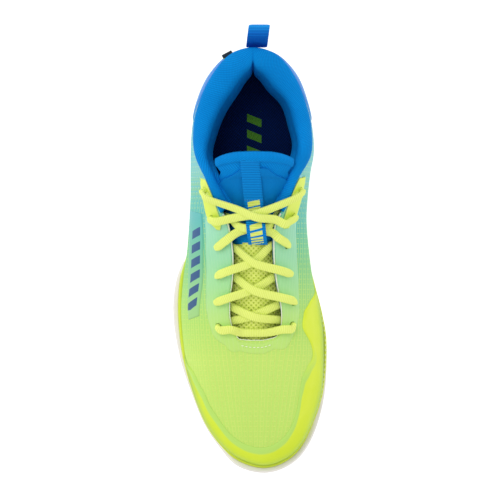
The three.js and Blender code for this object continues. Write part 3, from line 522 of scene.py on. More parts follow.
def addCylinder(sides, radius, length, centre, way):  # round a point, in millimetres
    bpy.ops.mesh.primitive_cylinder_add(vertices=sides, radius=radius * mm, depth=length * mm,
                                        location=(centre + shift) * mm,
                                        rotation=Vector(way).to_track_quat("Z", "Y").to_euler())
    return bpy.context.object


def standFor(piece, nodes, body, slotName):
    if body:
        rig.ride(piece, body)
    if nodes:
        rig.replaces(piece, *([nodes] if isinstance(nodes, str) else nodes))
    if slotName:
        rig.slot(piece, slotName)
    return piece


def finishMesh(name, points, faces, uvs, material, node=(), body="shoe", slotName=None):
    mesh = bpy.data.meshes.new(name)
    mesh.from_pydata(((np.asarray(points) + shift) * mm).tolist(), [], faces)
    loops = np.zeros(len(mesh.loops), dtype=np.int64)
    mesh.loops.foreach_get("vertex_index", loops)
    layer = mesh.uv_layers.new(name="cloth")
    layer.data.foreach_set("uv", np.asarray(uvs, np.float32)[loops].ravel())
    mesh.polygons.foreach_set("use_smooth", np.ones(len(mesh.polygons), bool))
    mesh.materials.append(material)
    mesh.update()
    piece = bpy.data.objects.new(name, mesh)
    scene.collection.objects.link(piece)
    return standFor(piece, node, body, slotName)


def gridFaces(rows, columns, ringed=False, start=0, flip=False):
    i = np.arange(rows if ringed else rows - 1)[:, None]
    j = np.arange(columns - 1)[None, :]
    a = i * columns + j
    d = ((i + 1) % rows) * columns + j
    corners = [a, d, d + 1, a + 1] if flip else [a, a + 1, d + 1, d]
    return (np.stack(corners, axis=-1).reshape(-1, 4) + start).tolist()


def loopFaces(rows, size, ringed=False, flip=False):  # the same between closed loops
    i = np.arange(rows if ringed else rows - 1)[:, None]
    j = np.arange(size)[None, :]
    n, m = (j + 1) % size, (i + 1) % rows * size
    a = i * size
    corners = [a + j, m + j, m + n, a + n] if flip else [a + j, a + n, m + n, m + j]
    return np.stack(corners, axis=-1).reshape(-1, 4).tolist()


def walked(grid):  # distance in millimetres along both ways of a grid
    u = np.cumsum(np.linalg.norm(np.diff(grid, axis=0, prepend=grid[:1]), axis=-1).mean(axis=1))
    v = np.cumsum(np.linalg.norm(np.diff(grid, axis=1, prepend=grid[:, :1]), axis=-1), axis=1)
    return np.stack([np.broadcast_to(u[:, None], v.shape), v], axis=-1)


def skinPiece(name, outer, inner, material, ringed=False, uvs=None, **more):
    rows, columns = outer.shape[:2]
    count = rows * columns
    faces = gridFaces(rows, columns, ringed) + gridFaces(rows, columns, ringed, count, True)
    e = columns - 1
    for i in range(rows if ringed else rows - 1):
        n = (i + 1) % rows
        faces.append([i * columns, n * columns, n * columns + count, i * columns + count])
        faces.append([i * columns + e, i * columns + e + count, n * columns + e + count, n * columns + e])
    k = (rows - 1) * columns
    for j in range(0 if ringed else columns - 1):
        faces.append([j, j + count, j + 1 + count, j + 1])
        faces.append([k + j, k + j + 1, k + j + 1 + count, k + j + count])
    flat = (walked(outer) if uvs is None else uvs).reshape(-1, 2)
    points = np.concatenate([outer.reshape(-1, 3), inner.reshape(-1, 3)])
    return finishMesh(name, points, faces, np.concatenate([flat, flat]), material, **more)


def loftPiece(name, loops, material, uvs=None, **more):  # closed loops, with a fan over each end
    rows, size = loops.shape[:2]
    faces = loopFaces(rows, size)
    points = np.concatenate([loops.reshape(-1, 3), loops[:1].mean(axis=1), loops[-1:].mean(axis=1)])
    first, second, top = rows * size, rows * size + 1, (rows - 1) * size
    for j in range(size):
        n = (j + 1) % size
        faces.append([first, n, j])
        faces.append([second, top + j, top + n])
    flat = (walked(loops) if uvs is None else uvs).reshape(-1, 2)
    flat = np.concatenate([flat, flat[:1], flat[-1:]])
    return finishMesh(name, points, faces, flat, material, **more)


def ringPiece(name, rings, material, open=(), **more):  # level rings, closed by a ladder at each end
    rings = np.array(rings)
    levels, size = rings.shape[:2]
    faces = loopFaces(levels, size, flip=True)
    top = (levels - 1) * size
    for j in range(size // 2):
        corners = list(dict.fromkeys([j, j + 1, size - j - 1, (size - j) % size]))
        if "bottom" not in open:
            faces.append(corners)
        faces.append([top + c for c in reversed(corners)])
    points = rings.reshape(-1, 3)
    return finishMesh(name, points, faces, points[:, :2], material, **more)


def roundOff(points, count):  # closed smooth line through a loop of points
    points = np.array(points)
    t = np.linspace(0, len(points), count, endpoint=False)
    i = np.floor(t).astype(int)
    return catmull(*[points[(i + k) % len(points)] for k in (-1, 0, 1, 2)], (t - i)[:, None])


def tubePiece(name, spine, normals, width, thick, sides, material, squareness=1.0, **more):
    # Flat or round band along a line; width and thick may change along it.
    spine = np.array(spine)
    along = unit(np.gradient(spine, axis=0))
    side = unit(np.cross(along, normals))
    lift = np.cross(side, along)
    turn = np.linspace(0, 2 * math.pi, sides, endpoint=False)
    c, s = np.cos(turn), np.sin(turn)
    c = np.sign(c) * np.abs(c) ** squareness
    s = np.sign(s) * np.abs(s) ** squareness
    width = np.broadcast_to(width, len(spine))[:, None, None]
    thick = np.broadcast_to(thick, len(spine))[:, None, None]
    loops = spine[:, None] + side[:, None] * c[None, :, None] * width / 2
    loops = loops + lift[:, None] * s[None, :, None] * thick / 2
    u = np.concatenate([[0], np.cumsum(np.linalg.norm(np.diff(spine, axis=0), axis=1))])
    across = (c[None, :] * width[:, :, 0]) / 2
    uvs = np.stack([np.broadcast_to(u[:, None], across.shape), across], axis=-1)
    return loftPiece(name, loops[:, ::-1], material, uvs[:, ::-1], **more)


def resample(points, spacing):
    points = np.array(points)
    length = np.concatenate([[0], np.cumsum(np.linalg.norm(np.diff(points, axis=0), axis=1))])
    places = np.linspace(0, length[-1], max(2, round(length[-1] / spacing) + 1))
    return np.stack([np.interp(places, length, points[:, k]) for k in range(3)], axis=1), places, length


def stitchRow(name, points, normals, sewing, material, **more):
    # Thread sewn in a row: each stitch is one short hump with a few faces.
    centres, places, length = resample(points, sewing["pitch"])
    lean = np.stack([np.interp(places, length, np.array(normals)[:, k]) for k in range(3)], axis=1)
    along = unit(np.gradient(centres, axis=0))
    lean = unit(lean)
    side = np.cross(lean, along)
    levels, sides = 5, 6
    steps = np.linspace(-1, 1, levels)
    turn = np.linspace(0, 2 * math.pi, sides, endpoint=False)
    pointRows, faces = [], []
    for centre, way, up, across in zip(centres, along, lean, side):
        base = len(pointRows) * levels * sides
        rows = []
        for step in steps:
            size = sewing["width"] / 2 * math.sqrt(1.05 - step * step)
            spot = centre + way * step * sewing["length"] / 2
            spot = spot + up * sewing["width"] * (0.35 - 0.5 * step * step)
            rows.append(spot + size * (np.cos(turn)[:, None] * across + np.sin(turn)[:, None] * up))
        pointRows.append(np.concatenate(rows))
        for start in range(base, base + (levels - 1) * sides, sides):
            for j in range(sides):
                n = (j + 1) % sides
                faces.append([start + j, start + n, start + sides + n, start + sides + j])
        faces.append([base + j for j in reversed(range(sides))])
        faces.append([base + (levels - 1) * sides + j for j in range(sides)])
    merged = np.concatenate(pointRows)
    return finishMesh(name, merged, faces, merged[:, :2], material, **more)


# Lace: flat woven polyester, on the CAD lace's own route.
laceSize = {"width": 6.0, "thick": 2.8, "holeWidth": 3.4, "clearance": 0.6, "cadDiameter": 3.0, "rib": 1.2}
half = laceSize["cadDiameter"] / 2
overFilm = shell["filmGap"] + shell["film"] + laceSize["clearance"] + half
overWing = overFilm + shell["filmGap"] + shell["film"]
underLining = -(shell["mesh"] + shell["gap"] + shell["lining"] + laceSize["clearance"] + half)
onPad = laceSize["clearance"] + 0.3 + half
onLace = onPad + laceSize["cadDiameter"] + shell["gap"]
onPanel = onPad + shell["gap"] + 0.9
onLabel = 5
tucked = underLining - 2
wingHole, filmHole, liningHole = overWing - 1.2, overFilm - 1.2, underLining + 1.5
laceStretches = [
    ("upper", [(10.3, 0.4, tucked), (9.3, 0.41, tucked), (8.3, 0.42, tucked), (7.3, 0.43, tucked),
        (6.5, 0.45, tucked), (6.1, 0.5, tucked), (6.4, 0.55, tucked), (7.2, 0.57, tucked),
        (8.2, 0.58, tucked), (9.2, 0.62, tucked), (10.1, 0.7, underLining - 1.6),
        (10.6, 0.8, underLining - 0.8), (10.7, 0.86, liningHole), (10.7, 0.86, wingHole),
        (10.65, 0.92, overWing), (10.5, 1.0, overWing)]),
    ("tongue", [(32, -0.6, onLabel + 3), (26.5, 0.05, onLabel + onLace - onPad + 1.8),
        (24, 0.6, onLabel + 4)]),
    ("upper", [(24.73, 1.0, overWing + 0.6), (24.72, 0.9, overWing), (24.6, 0.8, overWing),
        (24.58, 0.74, wingHole), (24.58, 0.74, liningHole), (24.65, 0.8, underLining),
        (24.7, 0.95, underLining)]),
    ("tongue", [(17.5, 0.5, onPanel + 0.8), (16.6, 0.05, onPanel), (14, -0.5, onPanel + 1.4)]),
    ("upper", [(8.55, 1.0, overFilm), (8.3, 0.86, overFilm), (8.22, 0.8, filmHole),
        (8.22, 0.8, liningHole), (8.2, 0.86, underLining), (8.15, 0.99, underLining)]),
    ("tongue", [(-7, 0, onLace)]),
    ("upper", [(26.55, 1.0, overFilm), (26.7, 0.84, overFilm), (26.76, 0.76, filmHole),
        (26.76, 0.76, liningHole), (26.85, 0.84, underLining), (26.95, 0.99, underLining)]),
    ("tongue", [(-26, 0, onPad)]),
    ("upper", [(6.3, 1.0, overFilm), (6.18, 0.87, overFilm), (6.14, 0.81, filmHole),
        (6.14, 0.81, liningHole), (6.0, 0.87, underLining), (5.75, 0.99, underLining)]),
    ("tongue", [(-44, 0, onLace)]),
    ("upper", [(29.3, 0.99, underLining), (29.2, 0.9, underLining), (29.13, 0.83, liningHole),
        (29.13, 0.83, filmHole), (29.4, 0.88, overFilm), (29.7, 0.99, overFilm)]),
    ("tongue", [(-56, 0.3, onPad + 0.5), (-56, -0.3, onPad + 0.5)]),
    ("upper", [(4.45, 0.99, overFilm), (4.75, 0.88, overFilm), (5.03, 0.82, filmHole),
        (5.03, 0.82, liningHole), (4.95, 0.88, underLining), (4.8, 0.99, underLining)]),
    ("tongue", [(-44, 0, onPad)]),
    ("upper", [(28.15, 0.99, underLining), (28.0, 0.84, underLining), (27.87, 0.76, liningHole),
        (27.87, 0.76, filmHole), (27.8, 0.84, overFilm), (27.7, 1.0, overFilm)]),
    ("tongue", [(-26, 0, onLace)]),
    ("upper", [(7.05, 0.99, underLining), (7.1, 0.86, underLining), (7.15, 0.795, liningHole),
        (7.15, 0.795, filmHole), (7.25, 0.86, overFilm), (7.45, 1.0, overFilm)]),
    ("tongue", [(-7, 0, onPad)]),
    ("upper", [(25.75, 0.99, underLining), (25.75, 0.86, underLining), (25.74, 0.78, liningHole),
        (25.74, 0.78, filmHole), (25.6, 0.86, overFilm), (25.4, 1.0, overFilm)]),
    ("tongue", [(14, 0.5, onPanel + 2), (16.6, -0.05, onPanel + laceSize["cadDiameter"] + shell["gap"]),
        (18, -0.5, onPanel + 1.8)]),
    ("upper", [(9.2, 0.97, underLining), (9.28, 0.86, underLining), (9.32, 0.78, liningHole),
        (9.32, 0.78, wingHole), (9.34, 0.86, overWing), (9.4, 0.97, overWing)]),
    ("tongue", [(25, -0.6, onLabel + 3.2), (27, 0, onLabel + 1.5), (32, 0.6, onLabel + 2)]),
    ("upper", [(23.55, 1.0, overWing), (23.42, 0.9, overWing), (23.4, 0.83, wingHole),
        (23.4, 0.83, liningHole), (23.5, 0.77, underLining - 0.8), (24.0, 0.7, underLining - 1.6),
        (24.8, 0.62, tucked), (25.8, 0.58, tucked), (26.7, 0.56, tucked), (27.5, 0.53, tucked),
        (27.8, 0.48, tucked), (27.4, 0.44, tucked), (26.6, 0.42, tucked), (25.7, 0.4, tucked),
        (24.7, 0.38, tucked)]),
]
laceRoute = [(place, *row) for place, stretch in laceStretches for row in stretch]


def laceMaterial():
    # Woven polyester lace: matt, with a rib across it at each weft and lighter raised rows.
    material, tree = newMaterial("wovenPolyesterLace", "#f0fa90", 0.8, matt)
    along, across = mapped(tree)
    weft = ribs(tree, along, laceSize["rib"])
    warp = ribs(tree, across, 1.5)
    weave = times(tree, calculate(tree, "POWER", weft, 0.5), calculate(tree, "MULTIPLY_ADD", warp, 0.1, 0.9))
    return coat(material, mixColour(tree, weave, "#e0f266", "#f3fd8e"), weave, 0.16)


def laceLine():
    points, normals, holes = [], [], []
    for place, u, v, lift in laceRoute:
        if place == "upper":
            points.append(onUpper(u, v, lift))
            normals.append(upperNormal(u, v))
        else:
            row = tongueRow(u)
            points.append(onTongue(row, v, lift))
            normals.append(unit(onTongue(row, v, 1.0) - onTongue(row, v, 0.0)))
        holes.append(place == "upper" and lift in (wingHole, filmHole, liningHole))
    points, normals = np.array(points), np.array(normals)
    steps = np.linspace(0, len(points) - 1, (len(points) - 1) * 9 + 1)
    i = np.minimum(np.floor(steps).astype(int), len(points) - 2)
    ends = [np.clip(i + k, 0, len(points) - 1) for k in (-1, 0, 1, 2)]
    line = catmull(*[points[k] for k in ends], (steps - i)[:, None])
    share = (steps - i)[:, None]
    lean = unit(normals[i] * (1 - share) + normals[i + 1] * share)
    near = np.interp(steps, np.arange(len(points)), np.array(holes, float))
    return line, lean, near


def widthDirections(line, lean):
    # The flat side keeps to the surface; through a hole it carries on as it went in.
    along = unit(np.gradient(line, axis=0))
    cross = np.cross(along, lean)
    weight = np.linalg.norm(cross, axis=1)
    side = np.zeros_like(line)
    current = unit(cross[0])
    for k in range(len(line)):
        current = unit(current - along[k] * np.dot(current, along[k]))
        wanted = unit(cross[k])
        if np.dot(wanted, current) < 0:
            wanted = -wanted
        pull = 0.5 * max(0.0, weight[k] - 0.45)
        current = unit(current * (1 - pull) + wanted * pull)
        side[k] = current
    kernel = np.exp(-np.linspace(-2, 2, 13) ** 2)
    kernel /= kernel.sum()
    padded = np.concatenate([np.repeat(side[:1], 6, 0), side, np.repeat(side[-1:], 6, 0)])
    side = np.stack([np.convolve(padded[:, k], kernel, "valid") for k in range(3)], axis=1)
    side = unit(side - along * np.sum(side * along, axis=1)[:, None])
    return np.cross(side, along)


def addLace():
    line, lean, near = laceLine()
    lift = widthDirections(line, lean)
    width = laceSize["width"] + (laceSize["holeWidth"] - laceSize["width"]) * near
    lace = tubePiece("laceBand", line, lift, width, laceSize["thick"], 16, laceMaterial(), 0.7,
                     node="lace", slotName="lace_fabric")
    path = (line + shift) * mm
    length = float(np.linalg.norm(np.diff(path, axis=0), axis=1).sum())
    print("lace length", round(length, 4))
    ends = (("lateral", 0, 3), ("medial", -1, -4))
    aglets = [addAglet(side, line[k], line[k] - line[n]) for side, k, n in ends]
    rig.cord(lace, exit=path[0], length=length, diameter=laceSize["width"] * mm, far_end="fitting",
            stiffness="limp", lay="taut", path=path[::3], with_pieces=aglets)


def agletMaterial():
    # Cellulose acetate film wound round the lace end: clear, glossy, with the lace's colour below.
    material, tree = newMaterial("acetateFilm", "#e4efa0", 0.18, {"Coat Weight": 0.5})
    wound = noise(tree, 1.5)
    return coat(material, mixColour(tree, wound, "#d9e788", "#f0f6bd"), wound, 0.1)


agletSize = {"length": 19, "diameter": 3.4, "bevel": 0.5}


def addAglet(side, tip, way):
    way = unit(way)
    centre = tip + way * (shell["gap"] + agletSize["length"] / 2)
    aglet = addCylinder(24, agletSize["diameter"] / 2, agletSize["length"], centre, way)
    aglet.name = "aglet" + side.capitalize()
    applyModifier(aglet, "BEVEL", width=agletSize["bevel"] * mm, segments=3, limit_method="ANGLE")
    bpy.ops.object.transform_apply(location=True, rotation=True, scale=True)
    bpy.ops.object.shade_smooth_by_angle(angle=math.radians(35))
    aglet.data.materials.clear()
    aglet.data.materials.append(agletMaterial())
    return standFor(aglet, "aglet_" + side, "shoe", "aglet_plastic")


addLace()
print("lace and aglets made")


# Upper: engineered mesh, with films pressed on it.
knitStops = [(-150, "#c2e866"), (-75, "#c6ea6e"), (-50, "#b4e46e"), (-30, "#a2de82"), (-10, "#82d092"),
             (6, "#6fcba2"), (20, "#5cc4b8"), (35, "#58c2c2"), (55, "#74cbd4"), (75, "#6fc6dc"),
             (95, "#3f9fd8"), (110, "#2f78cc"), (135, "#3a6fd0")]
stayStops = [(-75, "#c6ea74"), (-45, "#bde886"), (-25, "#a9e49e"), (-5, "#9fe0b0"), (15, "#a0e2c0"),
             (35, "#8bd9cc"), (55, "#8ad6d8")]


def knitMaterial():
    # Engineered polyester mesh: matt, with a ripstop grid of thicker yarns each 3.5 mm.
    material, tree = newMaterial("engineeredMesh", "#a0dcb0", 0.7, matt)
    ground = ramp(tree, "Y", knitStops)
    across, along = mapped(tree)
    columns = calculate(tree, "POWER", ribs(tree, across, 3.5), 9.0)
    rows = calculate(tree, "POWER", ribs(tree, along, 3.5), 12.0)
    dashes = times(tree, rows, calculate(tree, "GREATER_THAN", ribs(tree, across, 7.0), 0.4))
    grid = calculate(tree, "MAXIMUM", columns, times(tree, dashes, 0.8))
    knit = times(tree, ribs(tree, across, 0.9), ribs(tree, along, 1.1))
    shaded = mixColour(tree, times(tree, knit, 0.12), ground, "#f4fbe6")
    lighter = mixColour(tree, times(tree, grid, 0.5), shaded, "#eaf682")
    y = placeAlong(tree, "Y")
    printed = times(tree, between(tree, y, 0.03, 0.042), between(tree, y, 0.046, 0.06, 1.0, 0.0))
    dash = times(tree, ribs(tree, across, 2.4), ribs(tree, along, 3.4))
    dash = times(tree, printed, calculate(tree, "GREATER_THAN", dash, 0.4))
    lighter = mixColour(tree, times(tree, dash, 0.5), lighter, "#b6d84a")
    return coat(material, lighter, calculate(tree, "MULTIPLY_ADD", knit, 0.3, grid), 0.16)


def filmMaterial(name, colour, pale, band, bandAft=0.0, paintedRimShade=False):
    # Thermoplastic polyurethane film, pressed on hot: glossy, paler in the band along its edge.
    material, tree = newMaterial(name, colour, 0.4, {"Specular IOR Level": 0.12})
    fromEdge = mapped(tree)[1]
    ahead = between(tree, placeAlong(tree, "Y"), -0.088, -0.066, 1.0, bandAft)
    inBand = times(tree, between(tree, fromEdge, band - 0.8, band + 0.8, 1.0, 0.0), ahead)
    mottled = mixColour(tree, times(tree, noise(tree, 9.0), 0.4), colour, "#e9f66a")
    if paintedRimShade:  # painted shade: darker low on the film, where it turns down to the sole
        low = ramp(tree, "Z", [(26, "#a2c036"), (31, "#cfe150"), (37, "#f2f7b4"), (44, "#ffffff")])
        paintedShadeMix = {"data_type": "RGBA", "blend_type": "MULTIPLY", 0: 1.0}
        mottled = addNode(tree, "ShaderNodeMix", paintedShadeMix, {6: mottled, 7: low}).outputs[2]
    return coat(material, mixColour(tree, inBand, mottled, pale), noise(tree, 1.2), 0.05)


def stayMaterial():
    # Thin clear film over the mesh: satin, minty, the mesh's grid just showing through.
    material, tree = newMaterial("clearFilm", "#b6e9b8", 0.45, {"Specular IOR Level": 0.2})
    across, along = mapped(tree)
    grid = calculate(tree, "POWER", ribs(tree, across, 3.5), 10.0)
    return coat(material, mixColour(tree, times(tree, grid, 0.1), ramp(tree, "Y", stayStops), "#eefad0"),
                calculate(tree, "ADD", grid, noise(tree, 1.5)), 0.1)


def knitMap(grid):  # across and along the shoe, laid over the sides as cloth would be
    x = grid[..., 0] - tongueCentre
    return np.stack([x + np.tanh(x / 15) * (62 - grid[..., 2]) * 0.9, grid[..., 1]], axis=-1)


def roundPlaces(count):
    return np.arange(count) * sections / count


eyelets = {
    "lateral": [(5.03, 0.82), (6.14, 0.81), (7.15, 0.795), (8.22, 0.8), (9.32, 0.78), (10.7, 0.86)],
    "medial": [(29.13, 0.83), (27.87, 0.76), (26.76, 0.76), (25.74, 0.78), (24.58, 0.74), (23.4, 0.83)],
    "radius": 2.3, "depth": 16,
}


def makePunch():  # twelve round punches in one mesh
    made = [addCylinder(20, eyelets["radius"], eyelets["depth"], upperPoint(a, h), upperNormal(a, h))
            for a, h in eyelets["lateral"] + eyelets["medial"]]
    selectOnly(*reversed(made))
    bpy.ops.object.join()
    bpy.ops.object.transform_apply(location=True, rotation=True, scale=True)
    return made[0]


punch = makePunch()


def punched(piece):
    applyModifier(piece, "BOOLEAN", object=punch, operation="DIFFERENCE", solver="EXACT")
    return piece


def addUpper():
    places, heights = roundPlaces(408), np.linspace(0, 1, 44)
    a, h = np.meshgrid(places, heights, indexing="ij")
    outer = onUpper(a, h, 0.0)
    inner = onUpper(a, h, -shell["mesh"])
    punched(skinPiece("upperMesh", outer, inner, knitMaterial(), ringed=True, uvs=knitMap(outer),
                      node="upper_mesh", slotName="upper_knit"))


def collarFoot(a):
    height = lastValue(4, a) - (midsoleTop(lastValue(1, a)) + shell["gap"])
    return 1 - 0.9 * tableValue(collar, 3, np.asarray(a) - collarFirst) / height


def liningTop(a):
    under = (a > collarFirst + 0.3) & (a < collarFirst + len(collar) - 1.3)
    return np.where(under, collarFoot(a) - 0.04, 0.985)


def liningMaterial():
    # Polyester tricot lining: matt, plain blue, with a fine rib.
    material, tree = newMaterial("tricotLining", "#0179c8", 0.9, matt)
    across, along = mapped(tree)
    rib = times(tree, ribs(tree, across, 1.2), ribs(tree, along, 1.6))
    return coat(material, mixColour(tree, rib, "#015fa8", "#0a8ada"), rib, 0.2)


def addLining():
    a, h = np.meshgrid(roundPlaces(306), np.linspace(0, 1, 28), indexing="ij")
    h = 0.02 + (liningTop(a) - 0.02) * h
    lift = -shell["mesh"] - shell["gap"] - 1.7 * (1 - smooth(h, 0.45, 0.75))
    outer = onUpper(a, h, lift)
    inner = onUpper(a, h, lift - shell["lining"])
    punched(skinPiece("upperLining", outer, inner, liningMaterial(), ringed=True,
                      node="vamp_and_quarter_lining", slotName="lining_fabric"))


toeFilmEdge = [
    (-6.85, 0.1), (-6.4, 0.39), (-5.9, 0.57), (-5.3, 0.64), (-4.95, 0.65), (-4.65, 0.47), (-4.4, 0.46),
    (-4.0, 0.55), (-3.35, 0.61), (-2.8, 0.58), (-2.45, 0.51), (-2.0, 0.44), (-1.35, 0.38), (-0.65, 0.35),
    (0, 0.34), (0.65, 0.34), (1.55, 0.36), (2.5, 0.4), (3.45, 0.4), (4.4, 0.28), (5.0, 0.04),
]
eyestayEdge = [
    (-11.2, 0.9), (-10.5, 0.72), (-9.4, 0.6), (-8.2, 0.6), (-7.0, 0.6), (-5.6, 0.68), (-4.2, 0.84),
    (-2.3, 0.93), (2.0, 0.93), (3.8, 0.86), (4.9, 0.72), (6.0, 0.64), (7.0, 0.61), (9.0, 0.61),
    (10.2, 0.69), (11.2, 0.82),
]
heelFilmEdge = [(13.2, 0.5), (14.5, 0.8), (16.0, 0.985), (18.0, 0.985), (19.5, 0.8), (20.8, 0.5)]
patchLow = [(5.8, 0.32), (7.0, 0.27), (8.3, 0.25), (9.4, 0.17)]
patchHigh = [(5.8, 0.53), (7.0, 0.56), (8.3, 0.57), (9.4, 0.57)]
wingEdges = {
    "lateral": {
        "low": [(8.8, 0.83), (8.9, 0.75), (9.1, 0.69), (9.5, 0.66), (10.4, 0.68), (10.9, 0.74),
                (11.15, 0.83)],
        "high": [(8.8, 0.86), (9.0, 0.9), (9.4, 0.92), (10.0, 0.97), (10.5, 0.99), (11.15, 0.99)],
    },
    "medial": {
        "low": [(22.9, 0.78), (23.15, 0.71), (23.8, 0.65), (24.6, 0.64), (24.95, 0.69), (25.15, 0.77)],
        "high": [(22.9, 0.97), (23.3, 0.99), (23.6, 0.99), (24.1, 0.97), (24.5, 0.92), (25.15, 0.85)],
    },
}
filmSize = {"taper": 2.2, "edge": 0.12, "proud": 0.8, "stack": 0.75}


def filmPiece(name, low, high, count, steps, material, level=0, proud=None, knitted=False, **more):
    # Sheet between two edges, thin at its rim and bonded on the mesh or on the film below it.
    reach = low if isinstance(low, list) else high
    places = np.linspace(reach[0][0], reach[-1][0], count)
    lowEdge = softEdge(low, places) if isinstance(low, list) else np.full(count, float(low))
    highEdge = softEdge(high, places) if isinstance(high, list) else np.full(count, float(high))
    a = np.repeat(places[:, None], steps, axis=1)
    h = lowEdge[:, None] + (highEdge - lowEdge)[:, None] * np.linspace(0, 1, steps)[None, :]
    flat = onUpper(a, h, 0.0)
    run = walked(flat)
    height = run[..., 1]
    fromTop = height[:, -1:] - height
    u = run[..., 0]
    fromEnds = np.minimum(u, u[-1:] - u)
    freeEdges = [fromEnds]
    if isinstance(low, list) or low > 0.05:
        freeEdges.append(height)
    freeEdges.append(fromTop)
    edge = np.minimum.reduce(freeEdges)
    proud = filmSize["proud"] if proud is None else proud
    lift = filmSize["edge"] + (proud - filmSize["edge"]) * smooth(edge, 0, filmSize["taper"])
    base = level * filmSize["stack"]
    uvs = knitMap(flat) if knitted else np.stack([u, fromTop], axis=-1)
    return skinPiece(name, onUpper(a, h, base + lift), onUpper(a, h, base + 0.02), material, uvs=uvs, **more)


def heelFilmMaterial():
    # Clear film with a printed fade, violet blue at the top to pale blue below.
    material, tree = newMaterial("printedFilm", "#4a80ce", 0.5, {"Specular IOR Level": 0.04})
    fade = ramp(tree, "Z",
                [(35, "#9fcfee"), (58, "#5c9ae0"), (70, "#3d7cd4"), (80, "#2f68ca"), (91, "#2860c4")])
    mottled = mixColour(tree, times(tree, noise(tree, 5.0), 0.12), fade, "#8fb6e6")
    return coat(material, mottled, noise(tree, 1.4), 0.08)


def patchMaterial():
    # Clear film printed with a row of plain slanted bars.
    material, tree = newMaterial("printedClearFilm", "#a8e0b0", 0.4, {"Specular IOR Level": 0.2})
    along, down = mapped(tree)
    ground = mixColour(tree, 0.22, ramp(tree, "Y", knitStops), "#6f9fb0")
    slant = calculate(tree, "MULTIPLY_ADD", down, 0.35, along)
    bars = calculate(tree, "GREATER_THAN", ribs(tree, slant, 10.0), 0.36)
    ink = times(tree, bars, times(tree, inside(tree, down, 3.2, 14.5), inside(tree, along, 6.0, 64.0)))
    return coat(material, mixColour(tree, times(tree, ink, 0.92), ground, "#1f4688"), noise(tree, 1.5), 0.08)


def addFilms():
    # the toe film takes painted shade low down, where it turns to the sole
    toe = filmMaterial("polyurethaneFilm", "#dcee3c", "#bce56e", 5.0, paintedRimShade=True)
    stay = stayMaterial()
    filmPiece("toeFilm", 0, toeFilmEdge, 220, 30, toe, node="toe_film", slotName="toe_film")
    punched(filmPiece("eyestayFilm", eyestayEdge, 0.985, 240, 16, stay, proud=0.4, knitted=True,
                      node="eyestay_film", slotName="stay_film"))
    filmPiece("sidePatch", patchLow, patchHigh, 60, 14, patchMaterial(), proud=0.45, node="side_patch",
              slotName="stay_film")
    filmPiece("heelFilm", 0.12, heelFilmEdge, 110, 26, heelFilmMaterial(), node="heel_film",
              slotName="heel_film")
    wing = filmMaterial("tabFilm", "#e2f35e", "#eefb86", 1.2, 1.0)
    for side, edges in wingEdges.items():
        punched(filmPiece("wingTab" + side.capitalize(), edges["low"], edges["high"], 44, 18, wing, 1,
                          node="wing_tab_" + side, slotName="toe_film"))


def threadMaterial(name, colour):
    # Bonded nylon thread: satin, twisted.
    material, tree = newMaterial(name, colour, 0.5)
    return coat(material, None, noise(tree, 0.4), 0.05)


def edgeMaterial():
    # Cut edge of the mesh, sealed white.
    material, tree = newMaterial("sealedEdge", "#f2f6ea", 0.7)
    return coat(material, mixColour(tree, noise(tree, 0.8), "#e3ecd6", "#fbfdf5"), noise(tree, 0.5), 0.1)


def addThroatEdge():
    a = np.linspace(-9.6, 9.6, 300)
    spine = onUpper(a, 1.0, -0.6)
    tubePiece("throatEdge", spine, upperNormal(a, 1.0), 0.5, 1.4, 8, edgeMaterial(), slotName="upper_knit")
    b = np.linspace(-1.9, 1.9, 60)
    stitchRow("throatStitches", onUpper(b, 0.965, 0.9), upperNormal(b, 0.965),
              {"pitch": 2.6, "length": 1.9, "width": 0.7}, threadMaterial("bondedThread", "#f6fbd8"),
              slotName="lace_fabric", body="shoe")


addUpper()
addLining()
addFilms()
addThroatEdge()
print("upper and films made")


# Collar: a foam roll each side in blue cloth, pinched together at the heel.
collarSize = {"behind": -2.5, "endRound": 0.5, "sections": 110, "points": 60, "crease": -0.04,
              "overhangAt": (60, 83, 103, 120, 137), "overhang": (0.8, 1.2, 4.0, 5.8, 8.0)}


def collarLoop(a):
    place = a - collarFirst
    middleX, middleY, crest, depth = [float(tableValue(collar, k, place)) for k in range(4)]
    seam = np.array([lastValue(k, a) for k in (2, 3, 4)], float)
    opening = np.array([middleX, middleY, seam[2]])
    near = min(1.0, abs(a - heelSection) / collarSize["endRound"])
    full = math.sqrt(max(0.0, 1 - (1 - near) ** 2))
    opening = seam + (opening - seam) * (0.5 + 0.5 * full)
    crest *= 0.8 + 0.2 * full
    half = (seam - opening) / 2
    middle = opening + half
    foot = float(collarFoot(a))
    bulge = outward(a)
    over = float(np.interp(seam[1] + shift[1], collarSize["overhangAt"], collarSize["overhang"]))
    behind = collarSize["behind"]
    above = onUpper(a, 1.0, behind)
    above[2] = seam[2] + 0.5
    turns = np.linspace(0, math.pi, 9)
    arch = []
    for turn in turns:
        point = middle + half * 1.04 * math.cos(turn)
        point = point + bulge * over * max(0.0, math.cos(turn * 0.9)) * math.sqrt(math.sin(turn) + 0.12)
        point[2] = seam[2] + 0.5 + crest * math.sin(turn)
        arch.append(point)
    inner = []
    for fall, away in ((0.12, -0.6), (0.35, -2.0), (0.65, -3.2), (0.88, -3.0)):
        point = opening + bulge * away
        point[2] = seam[2] - fall * depth
        inner.append(point)
    low = [onUpper(a, h, behind) for h in (foot, (foot + 1) / 2, 0.97)]
    loop = [*low, above, *arch, *inner, onUpper(a, foot, behind - 4.5)]
    return roundOff(loop, collarSize["points"])


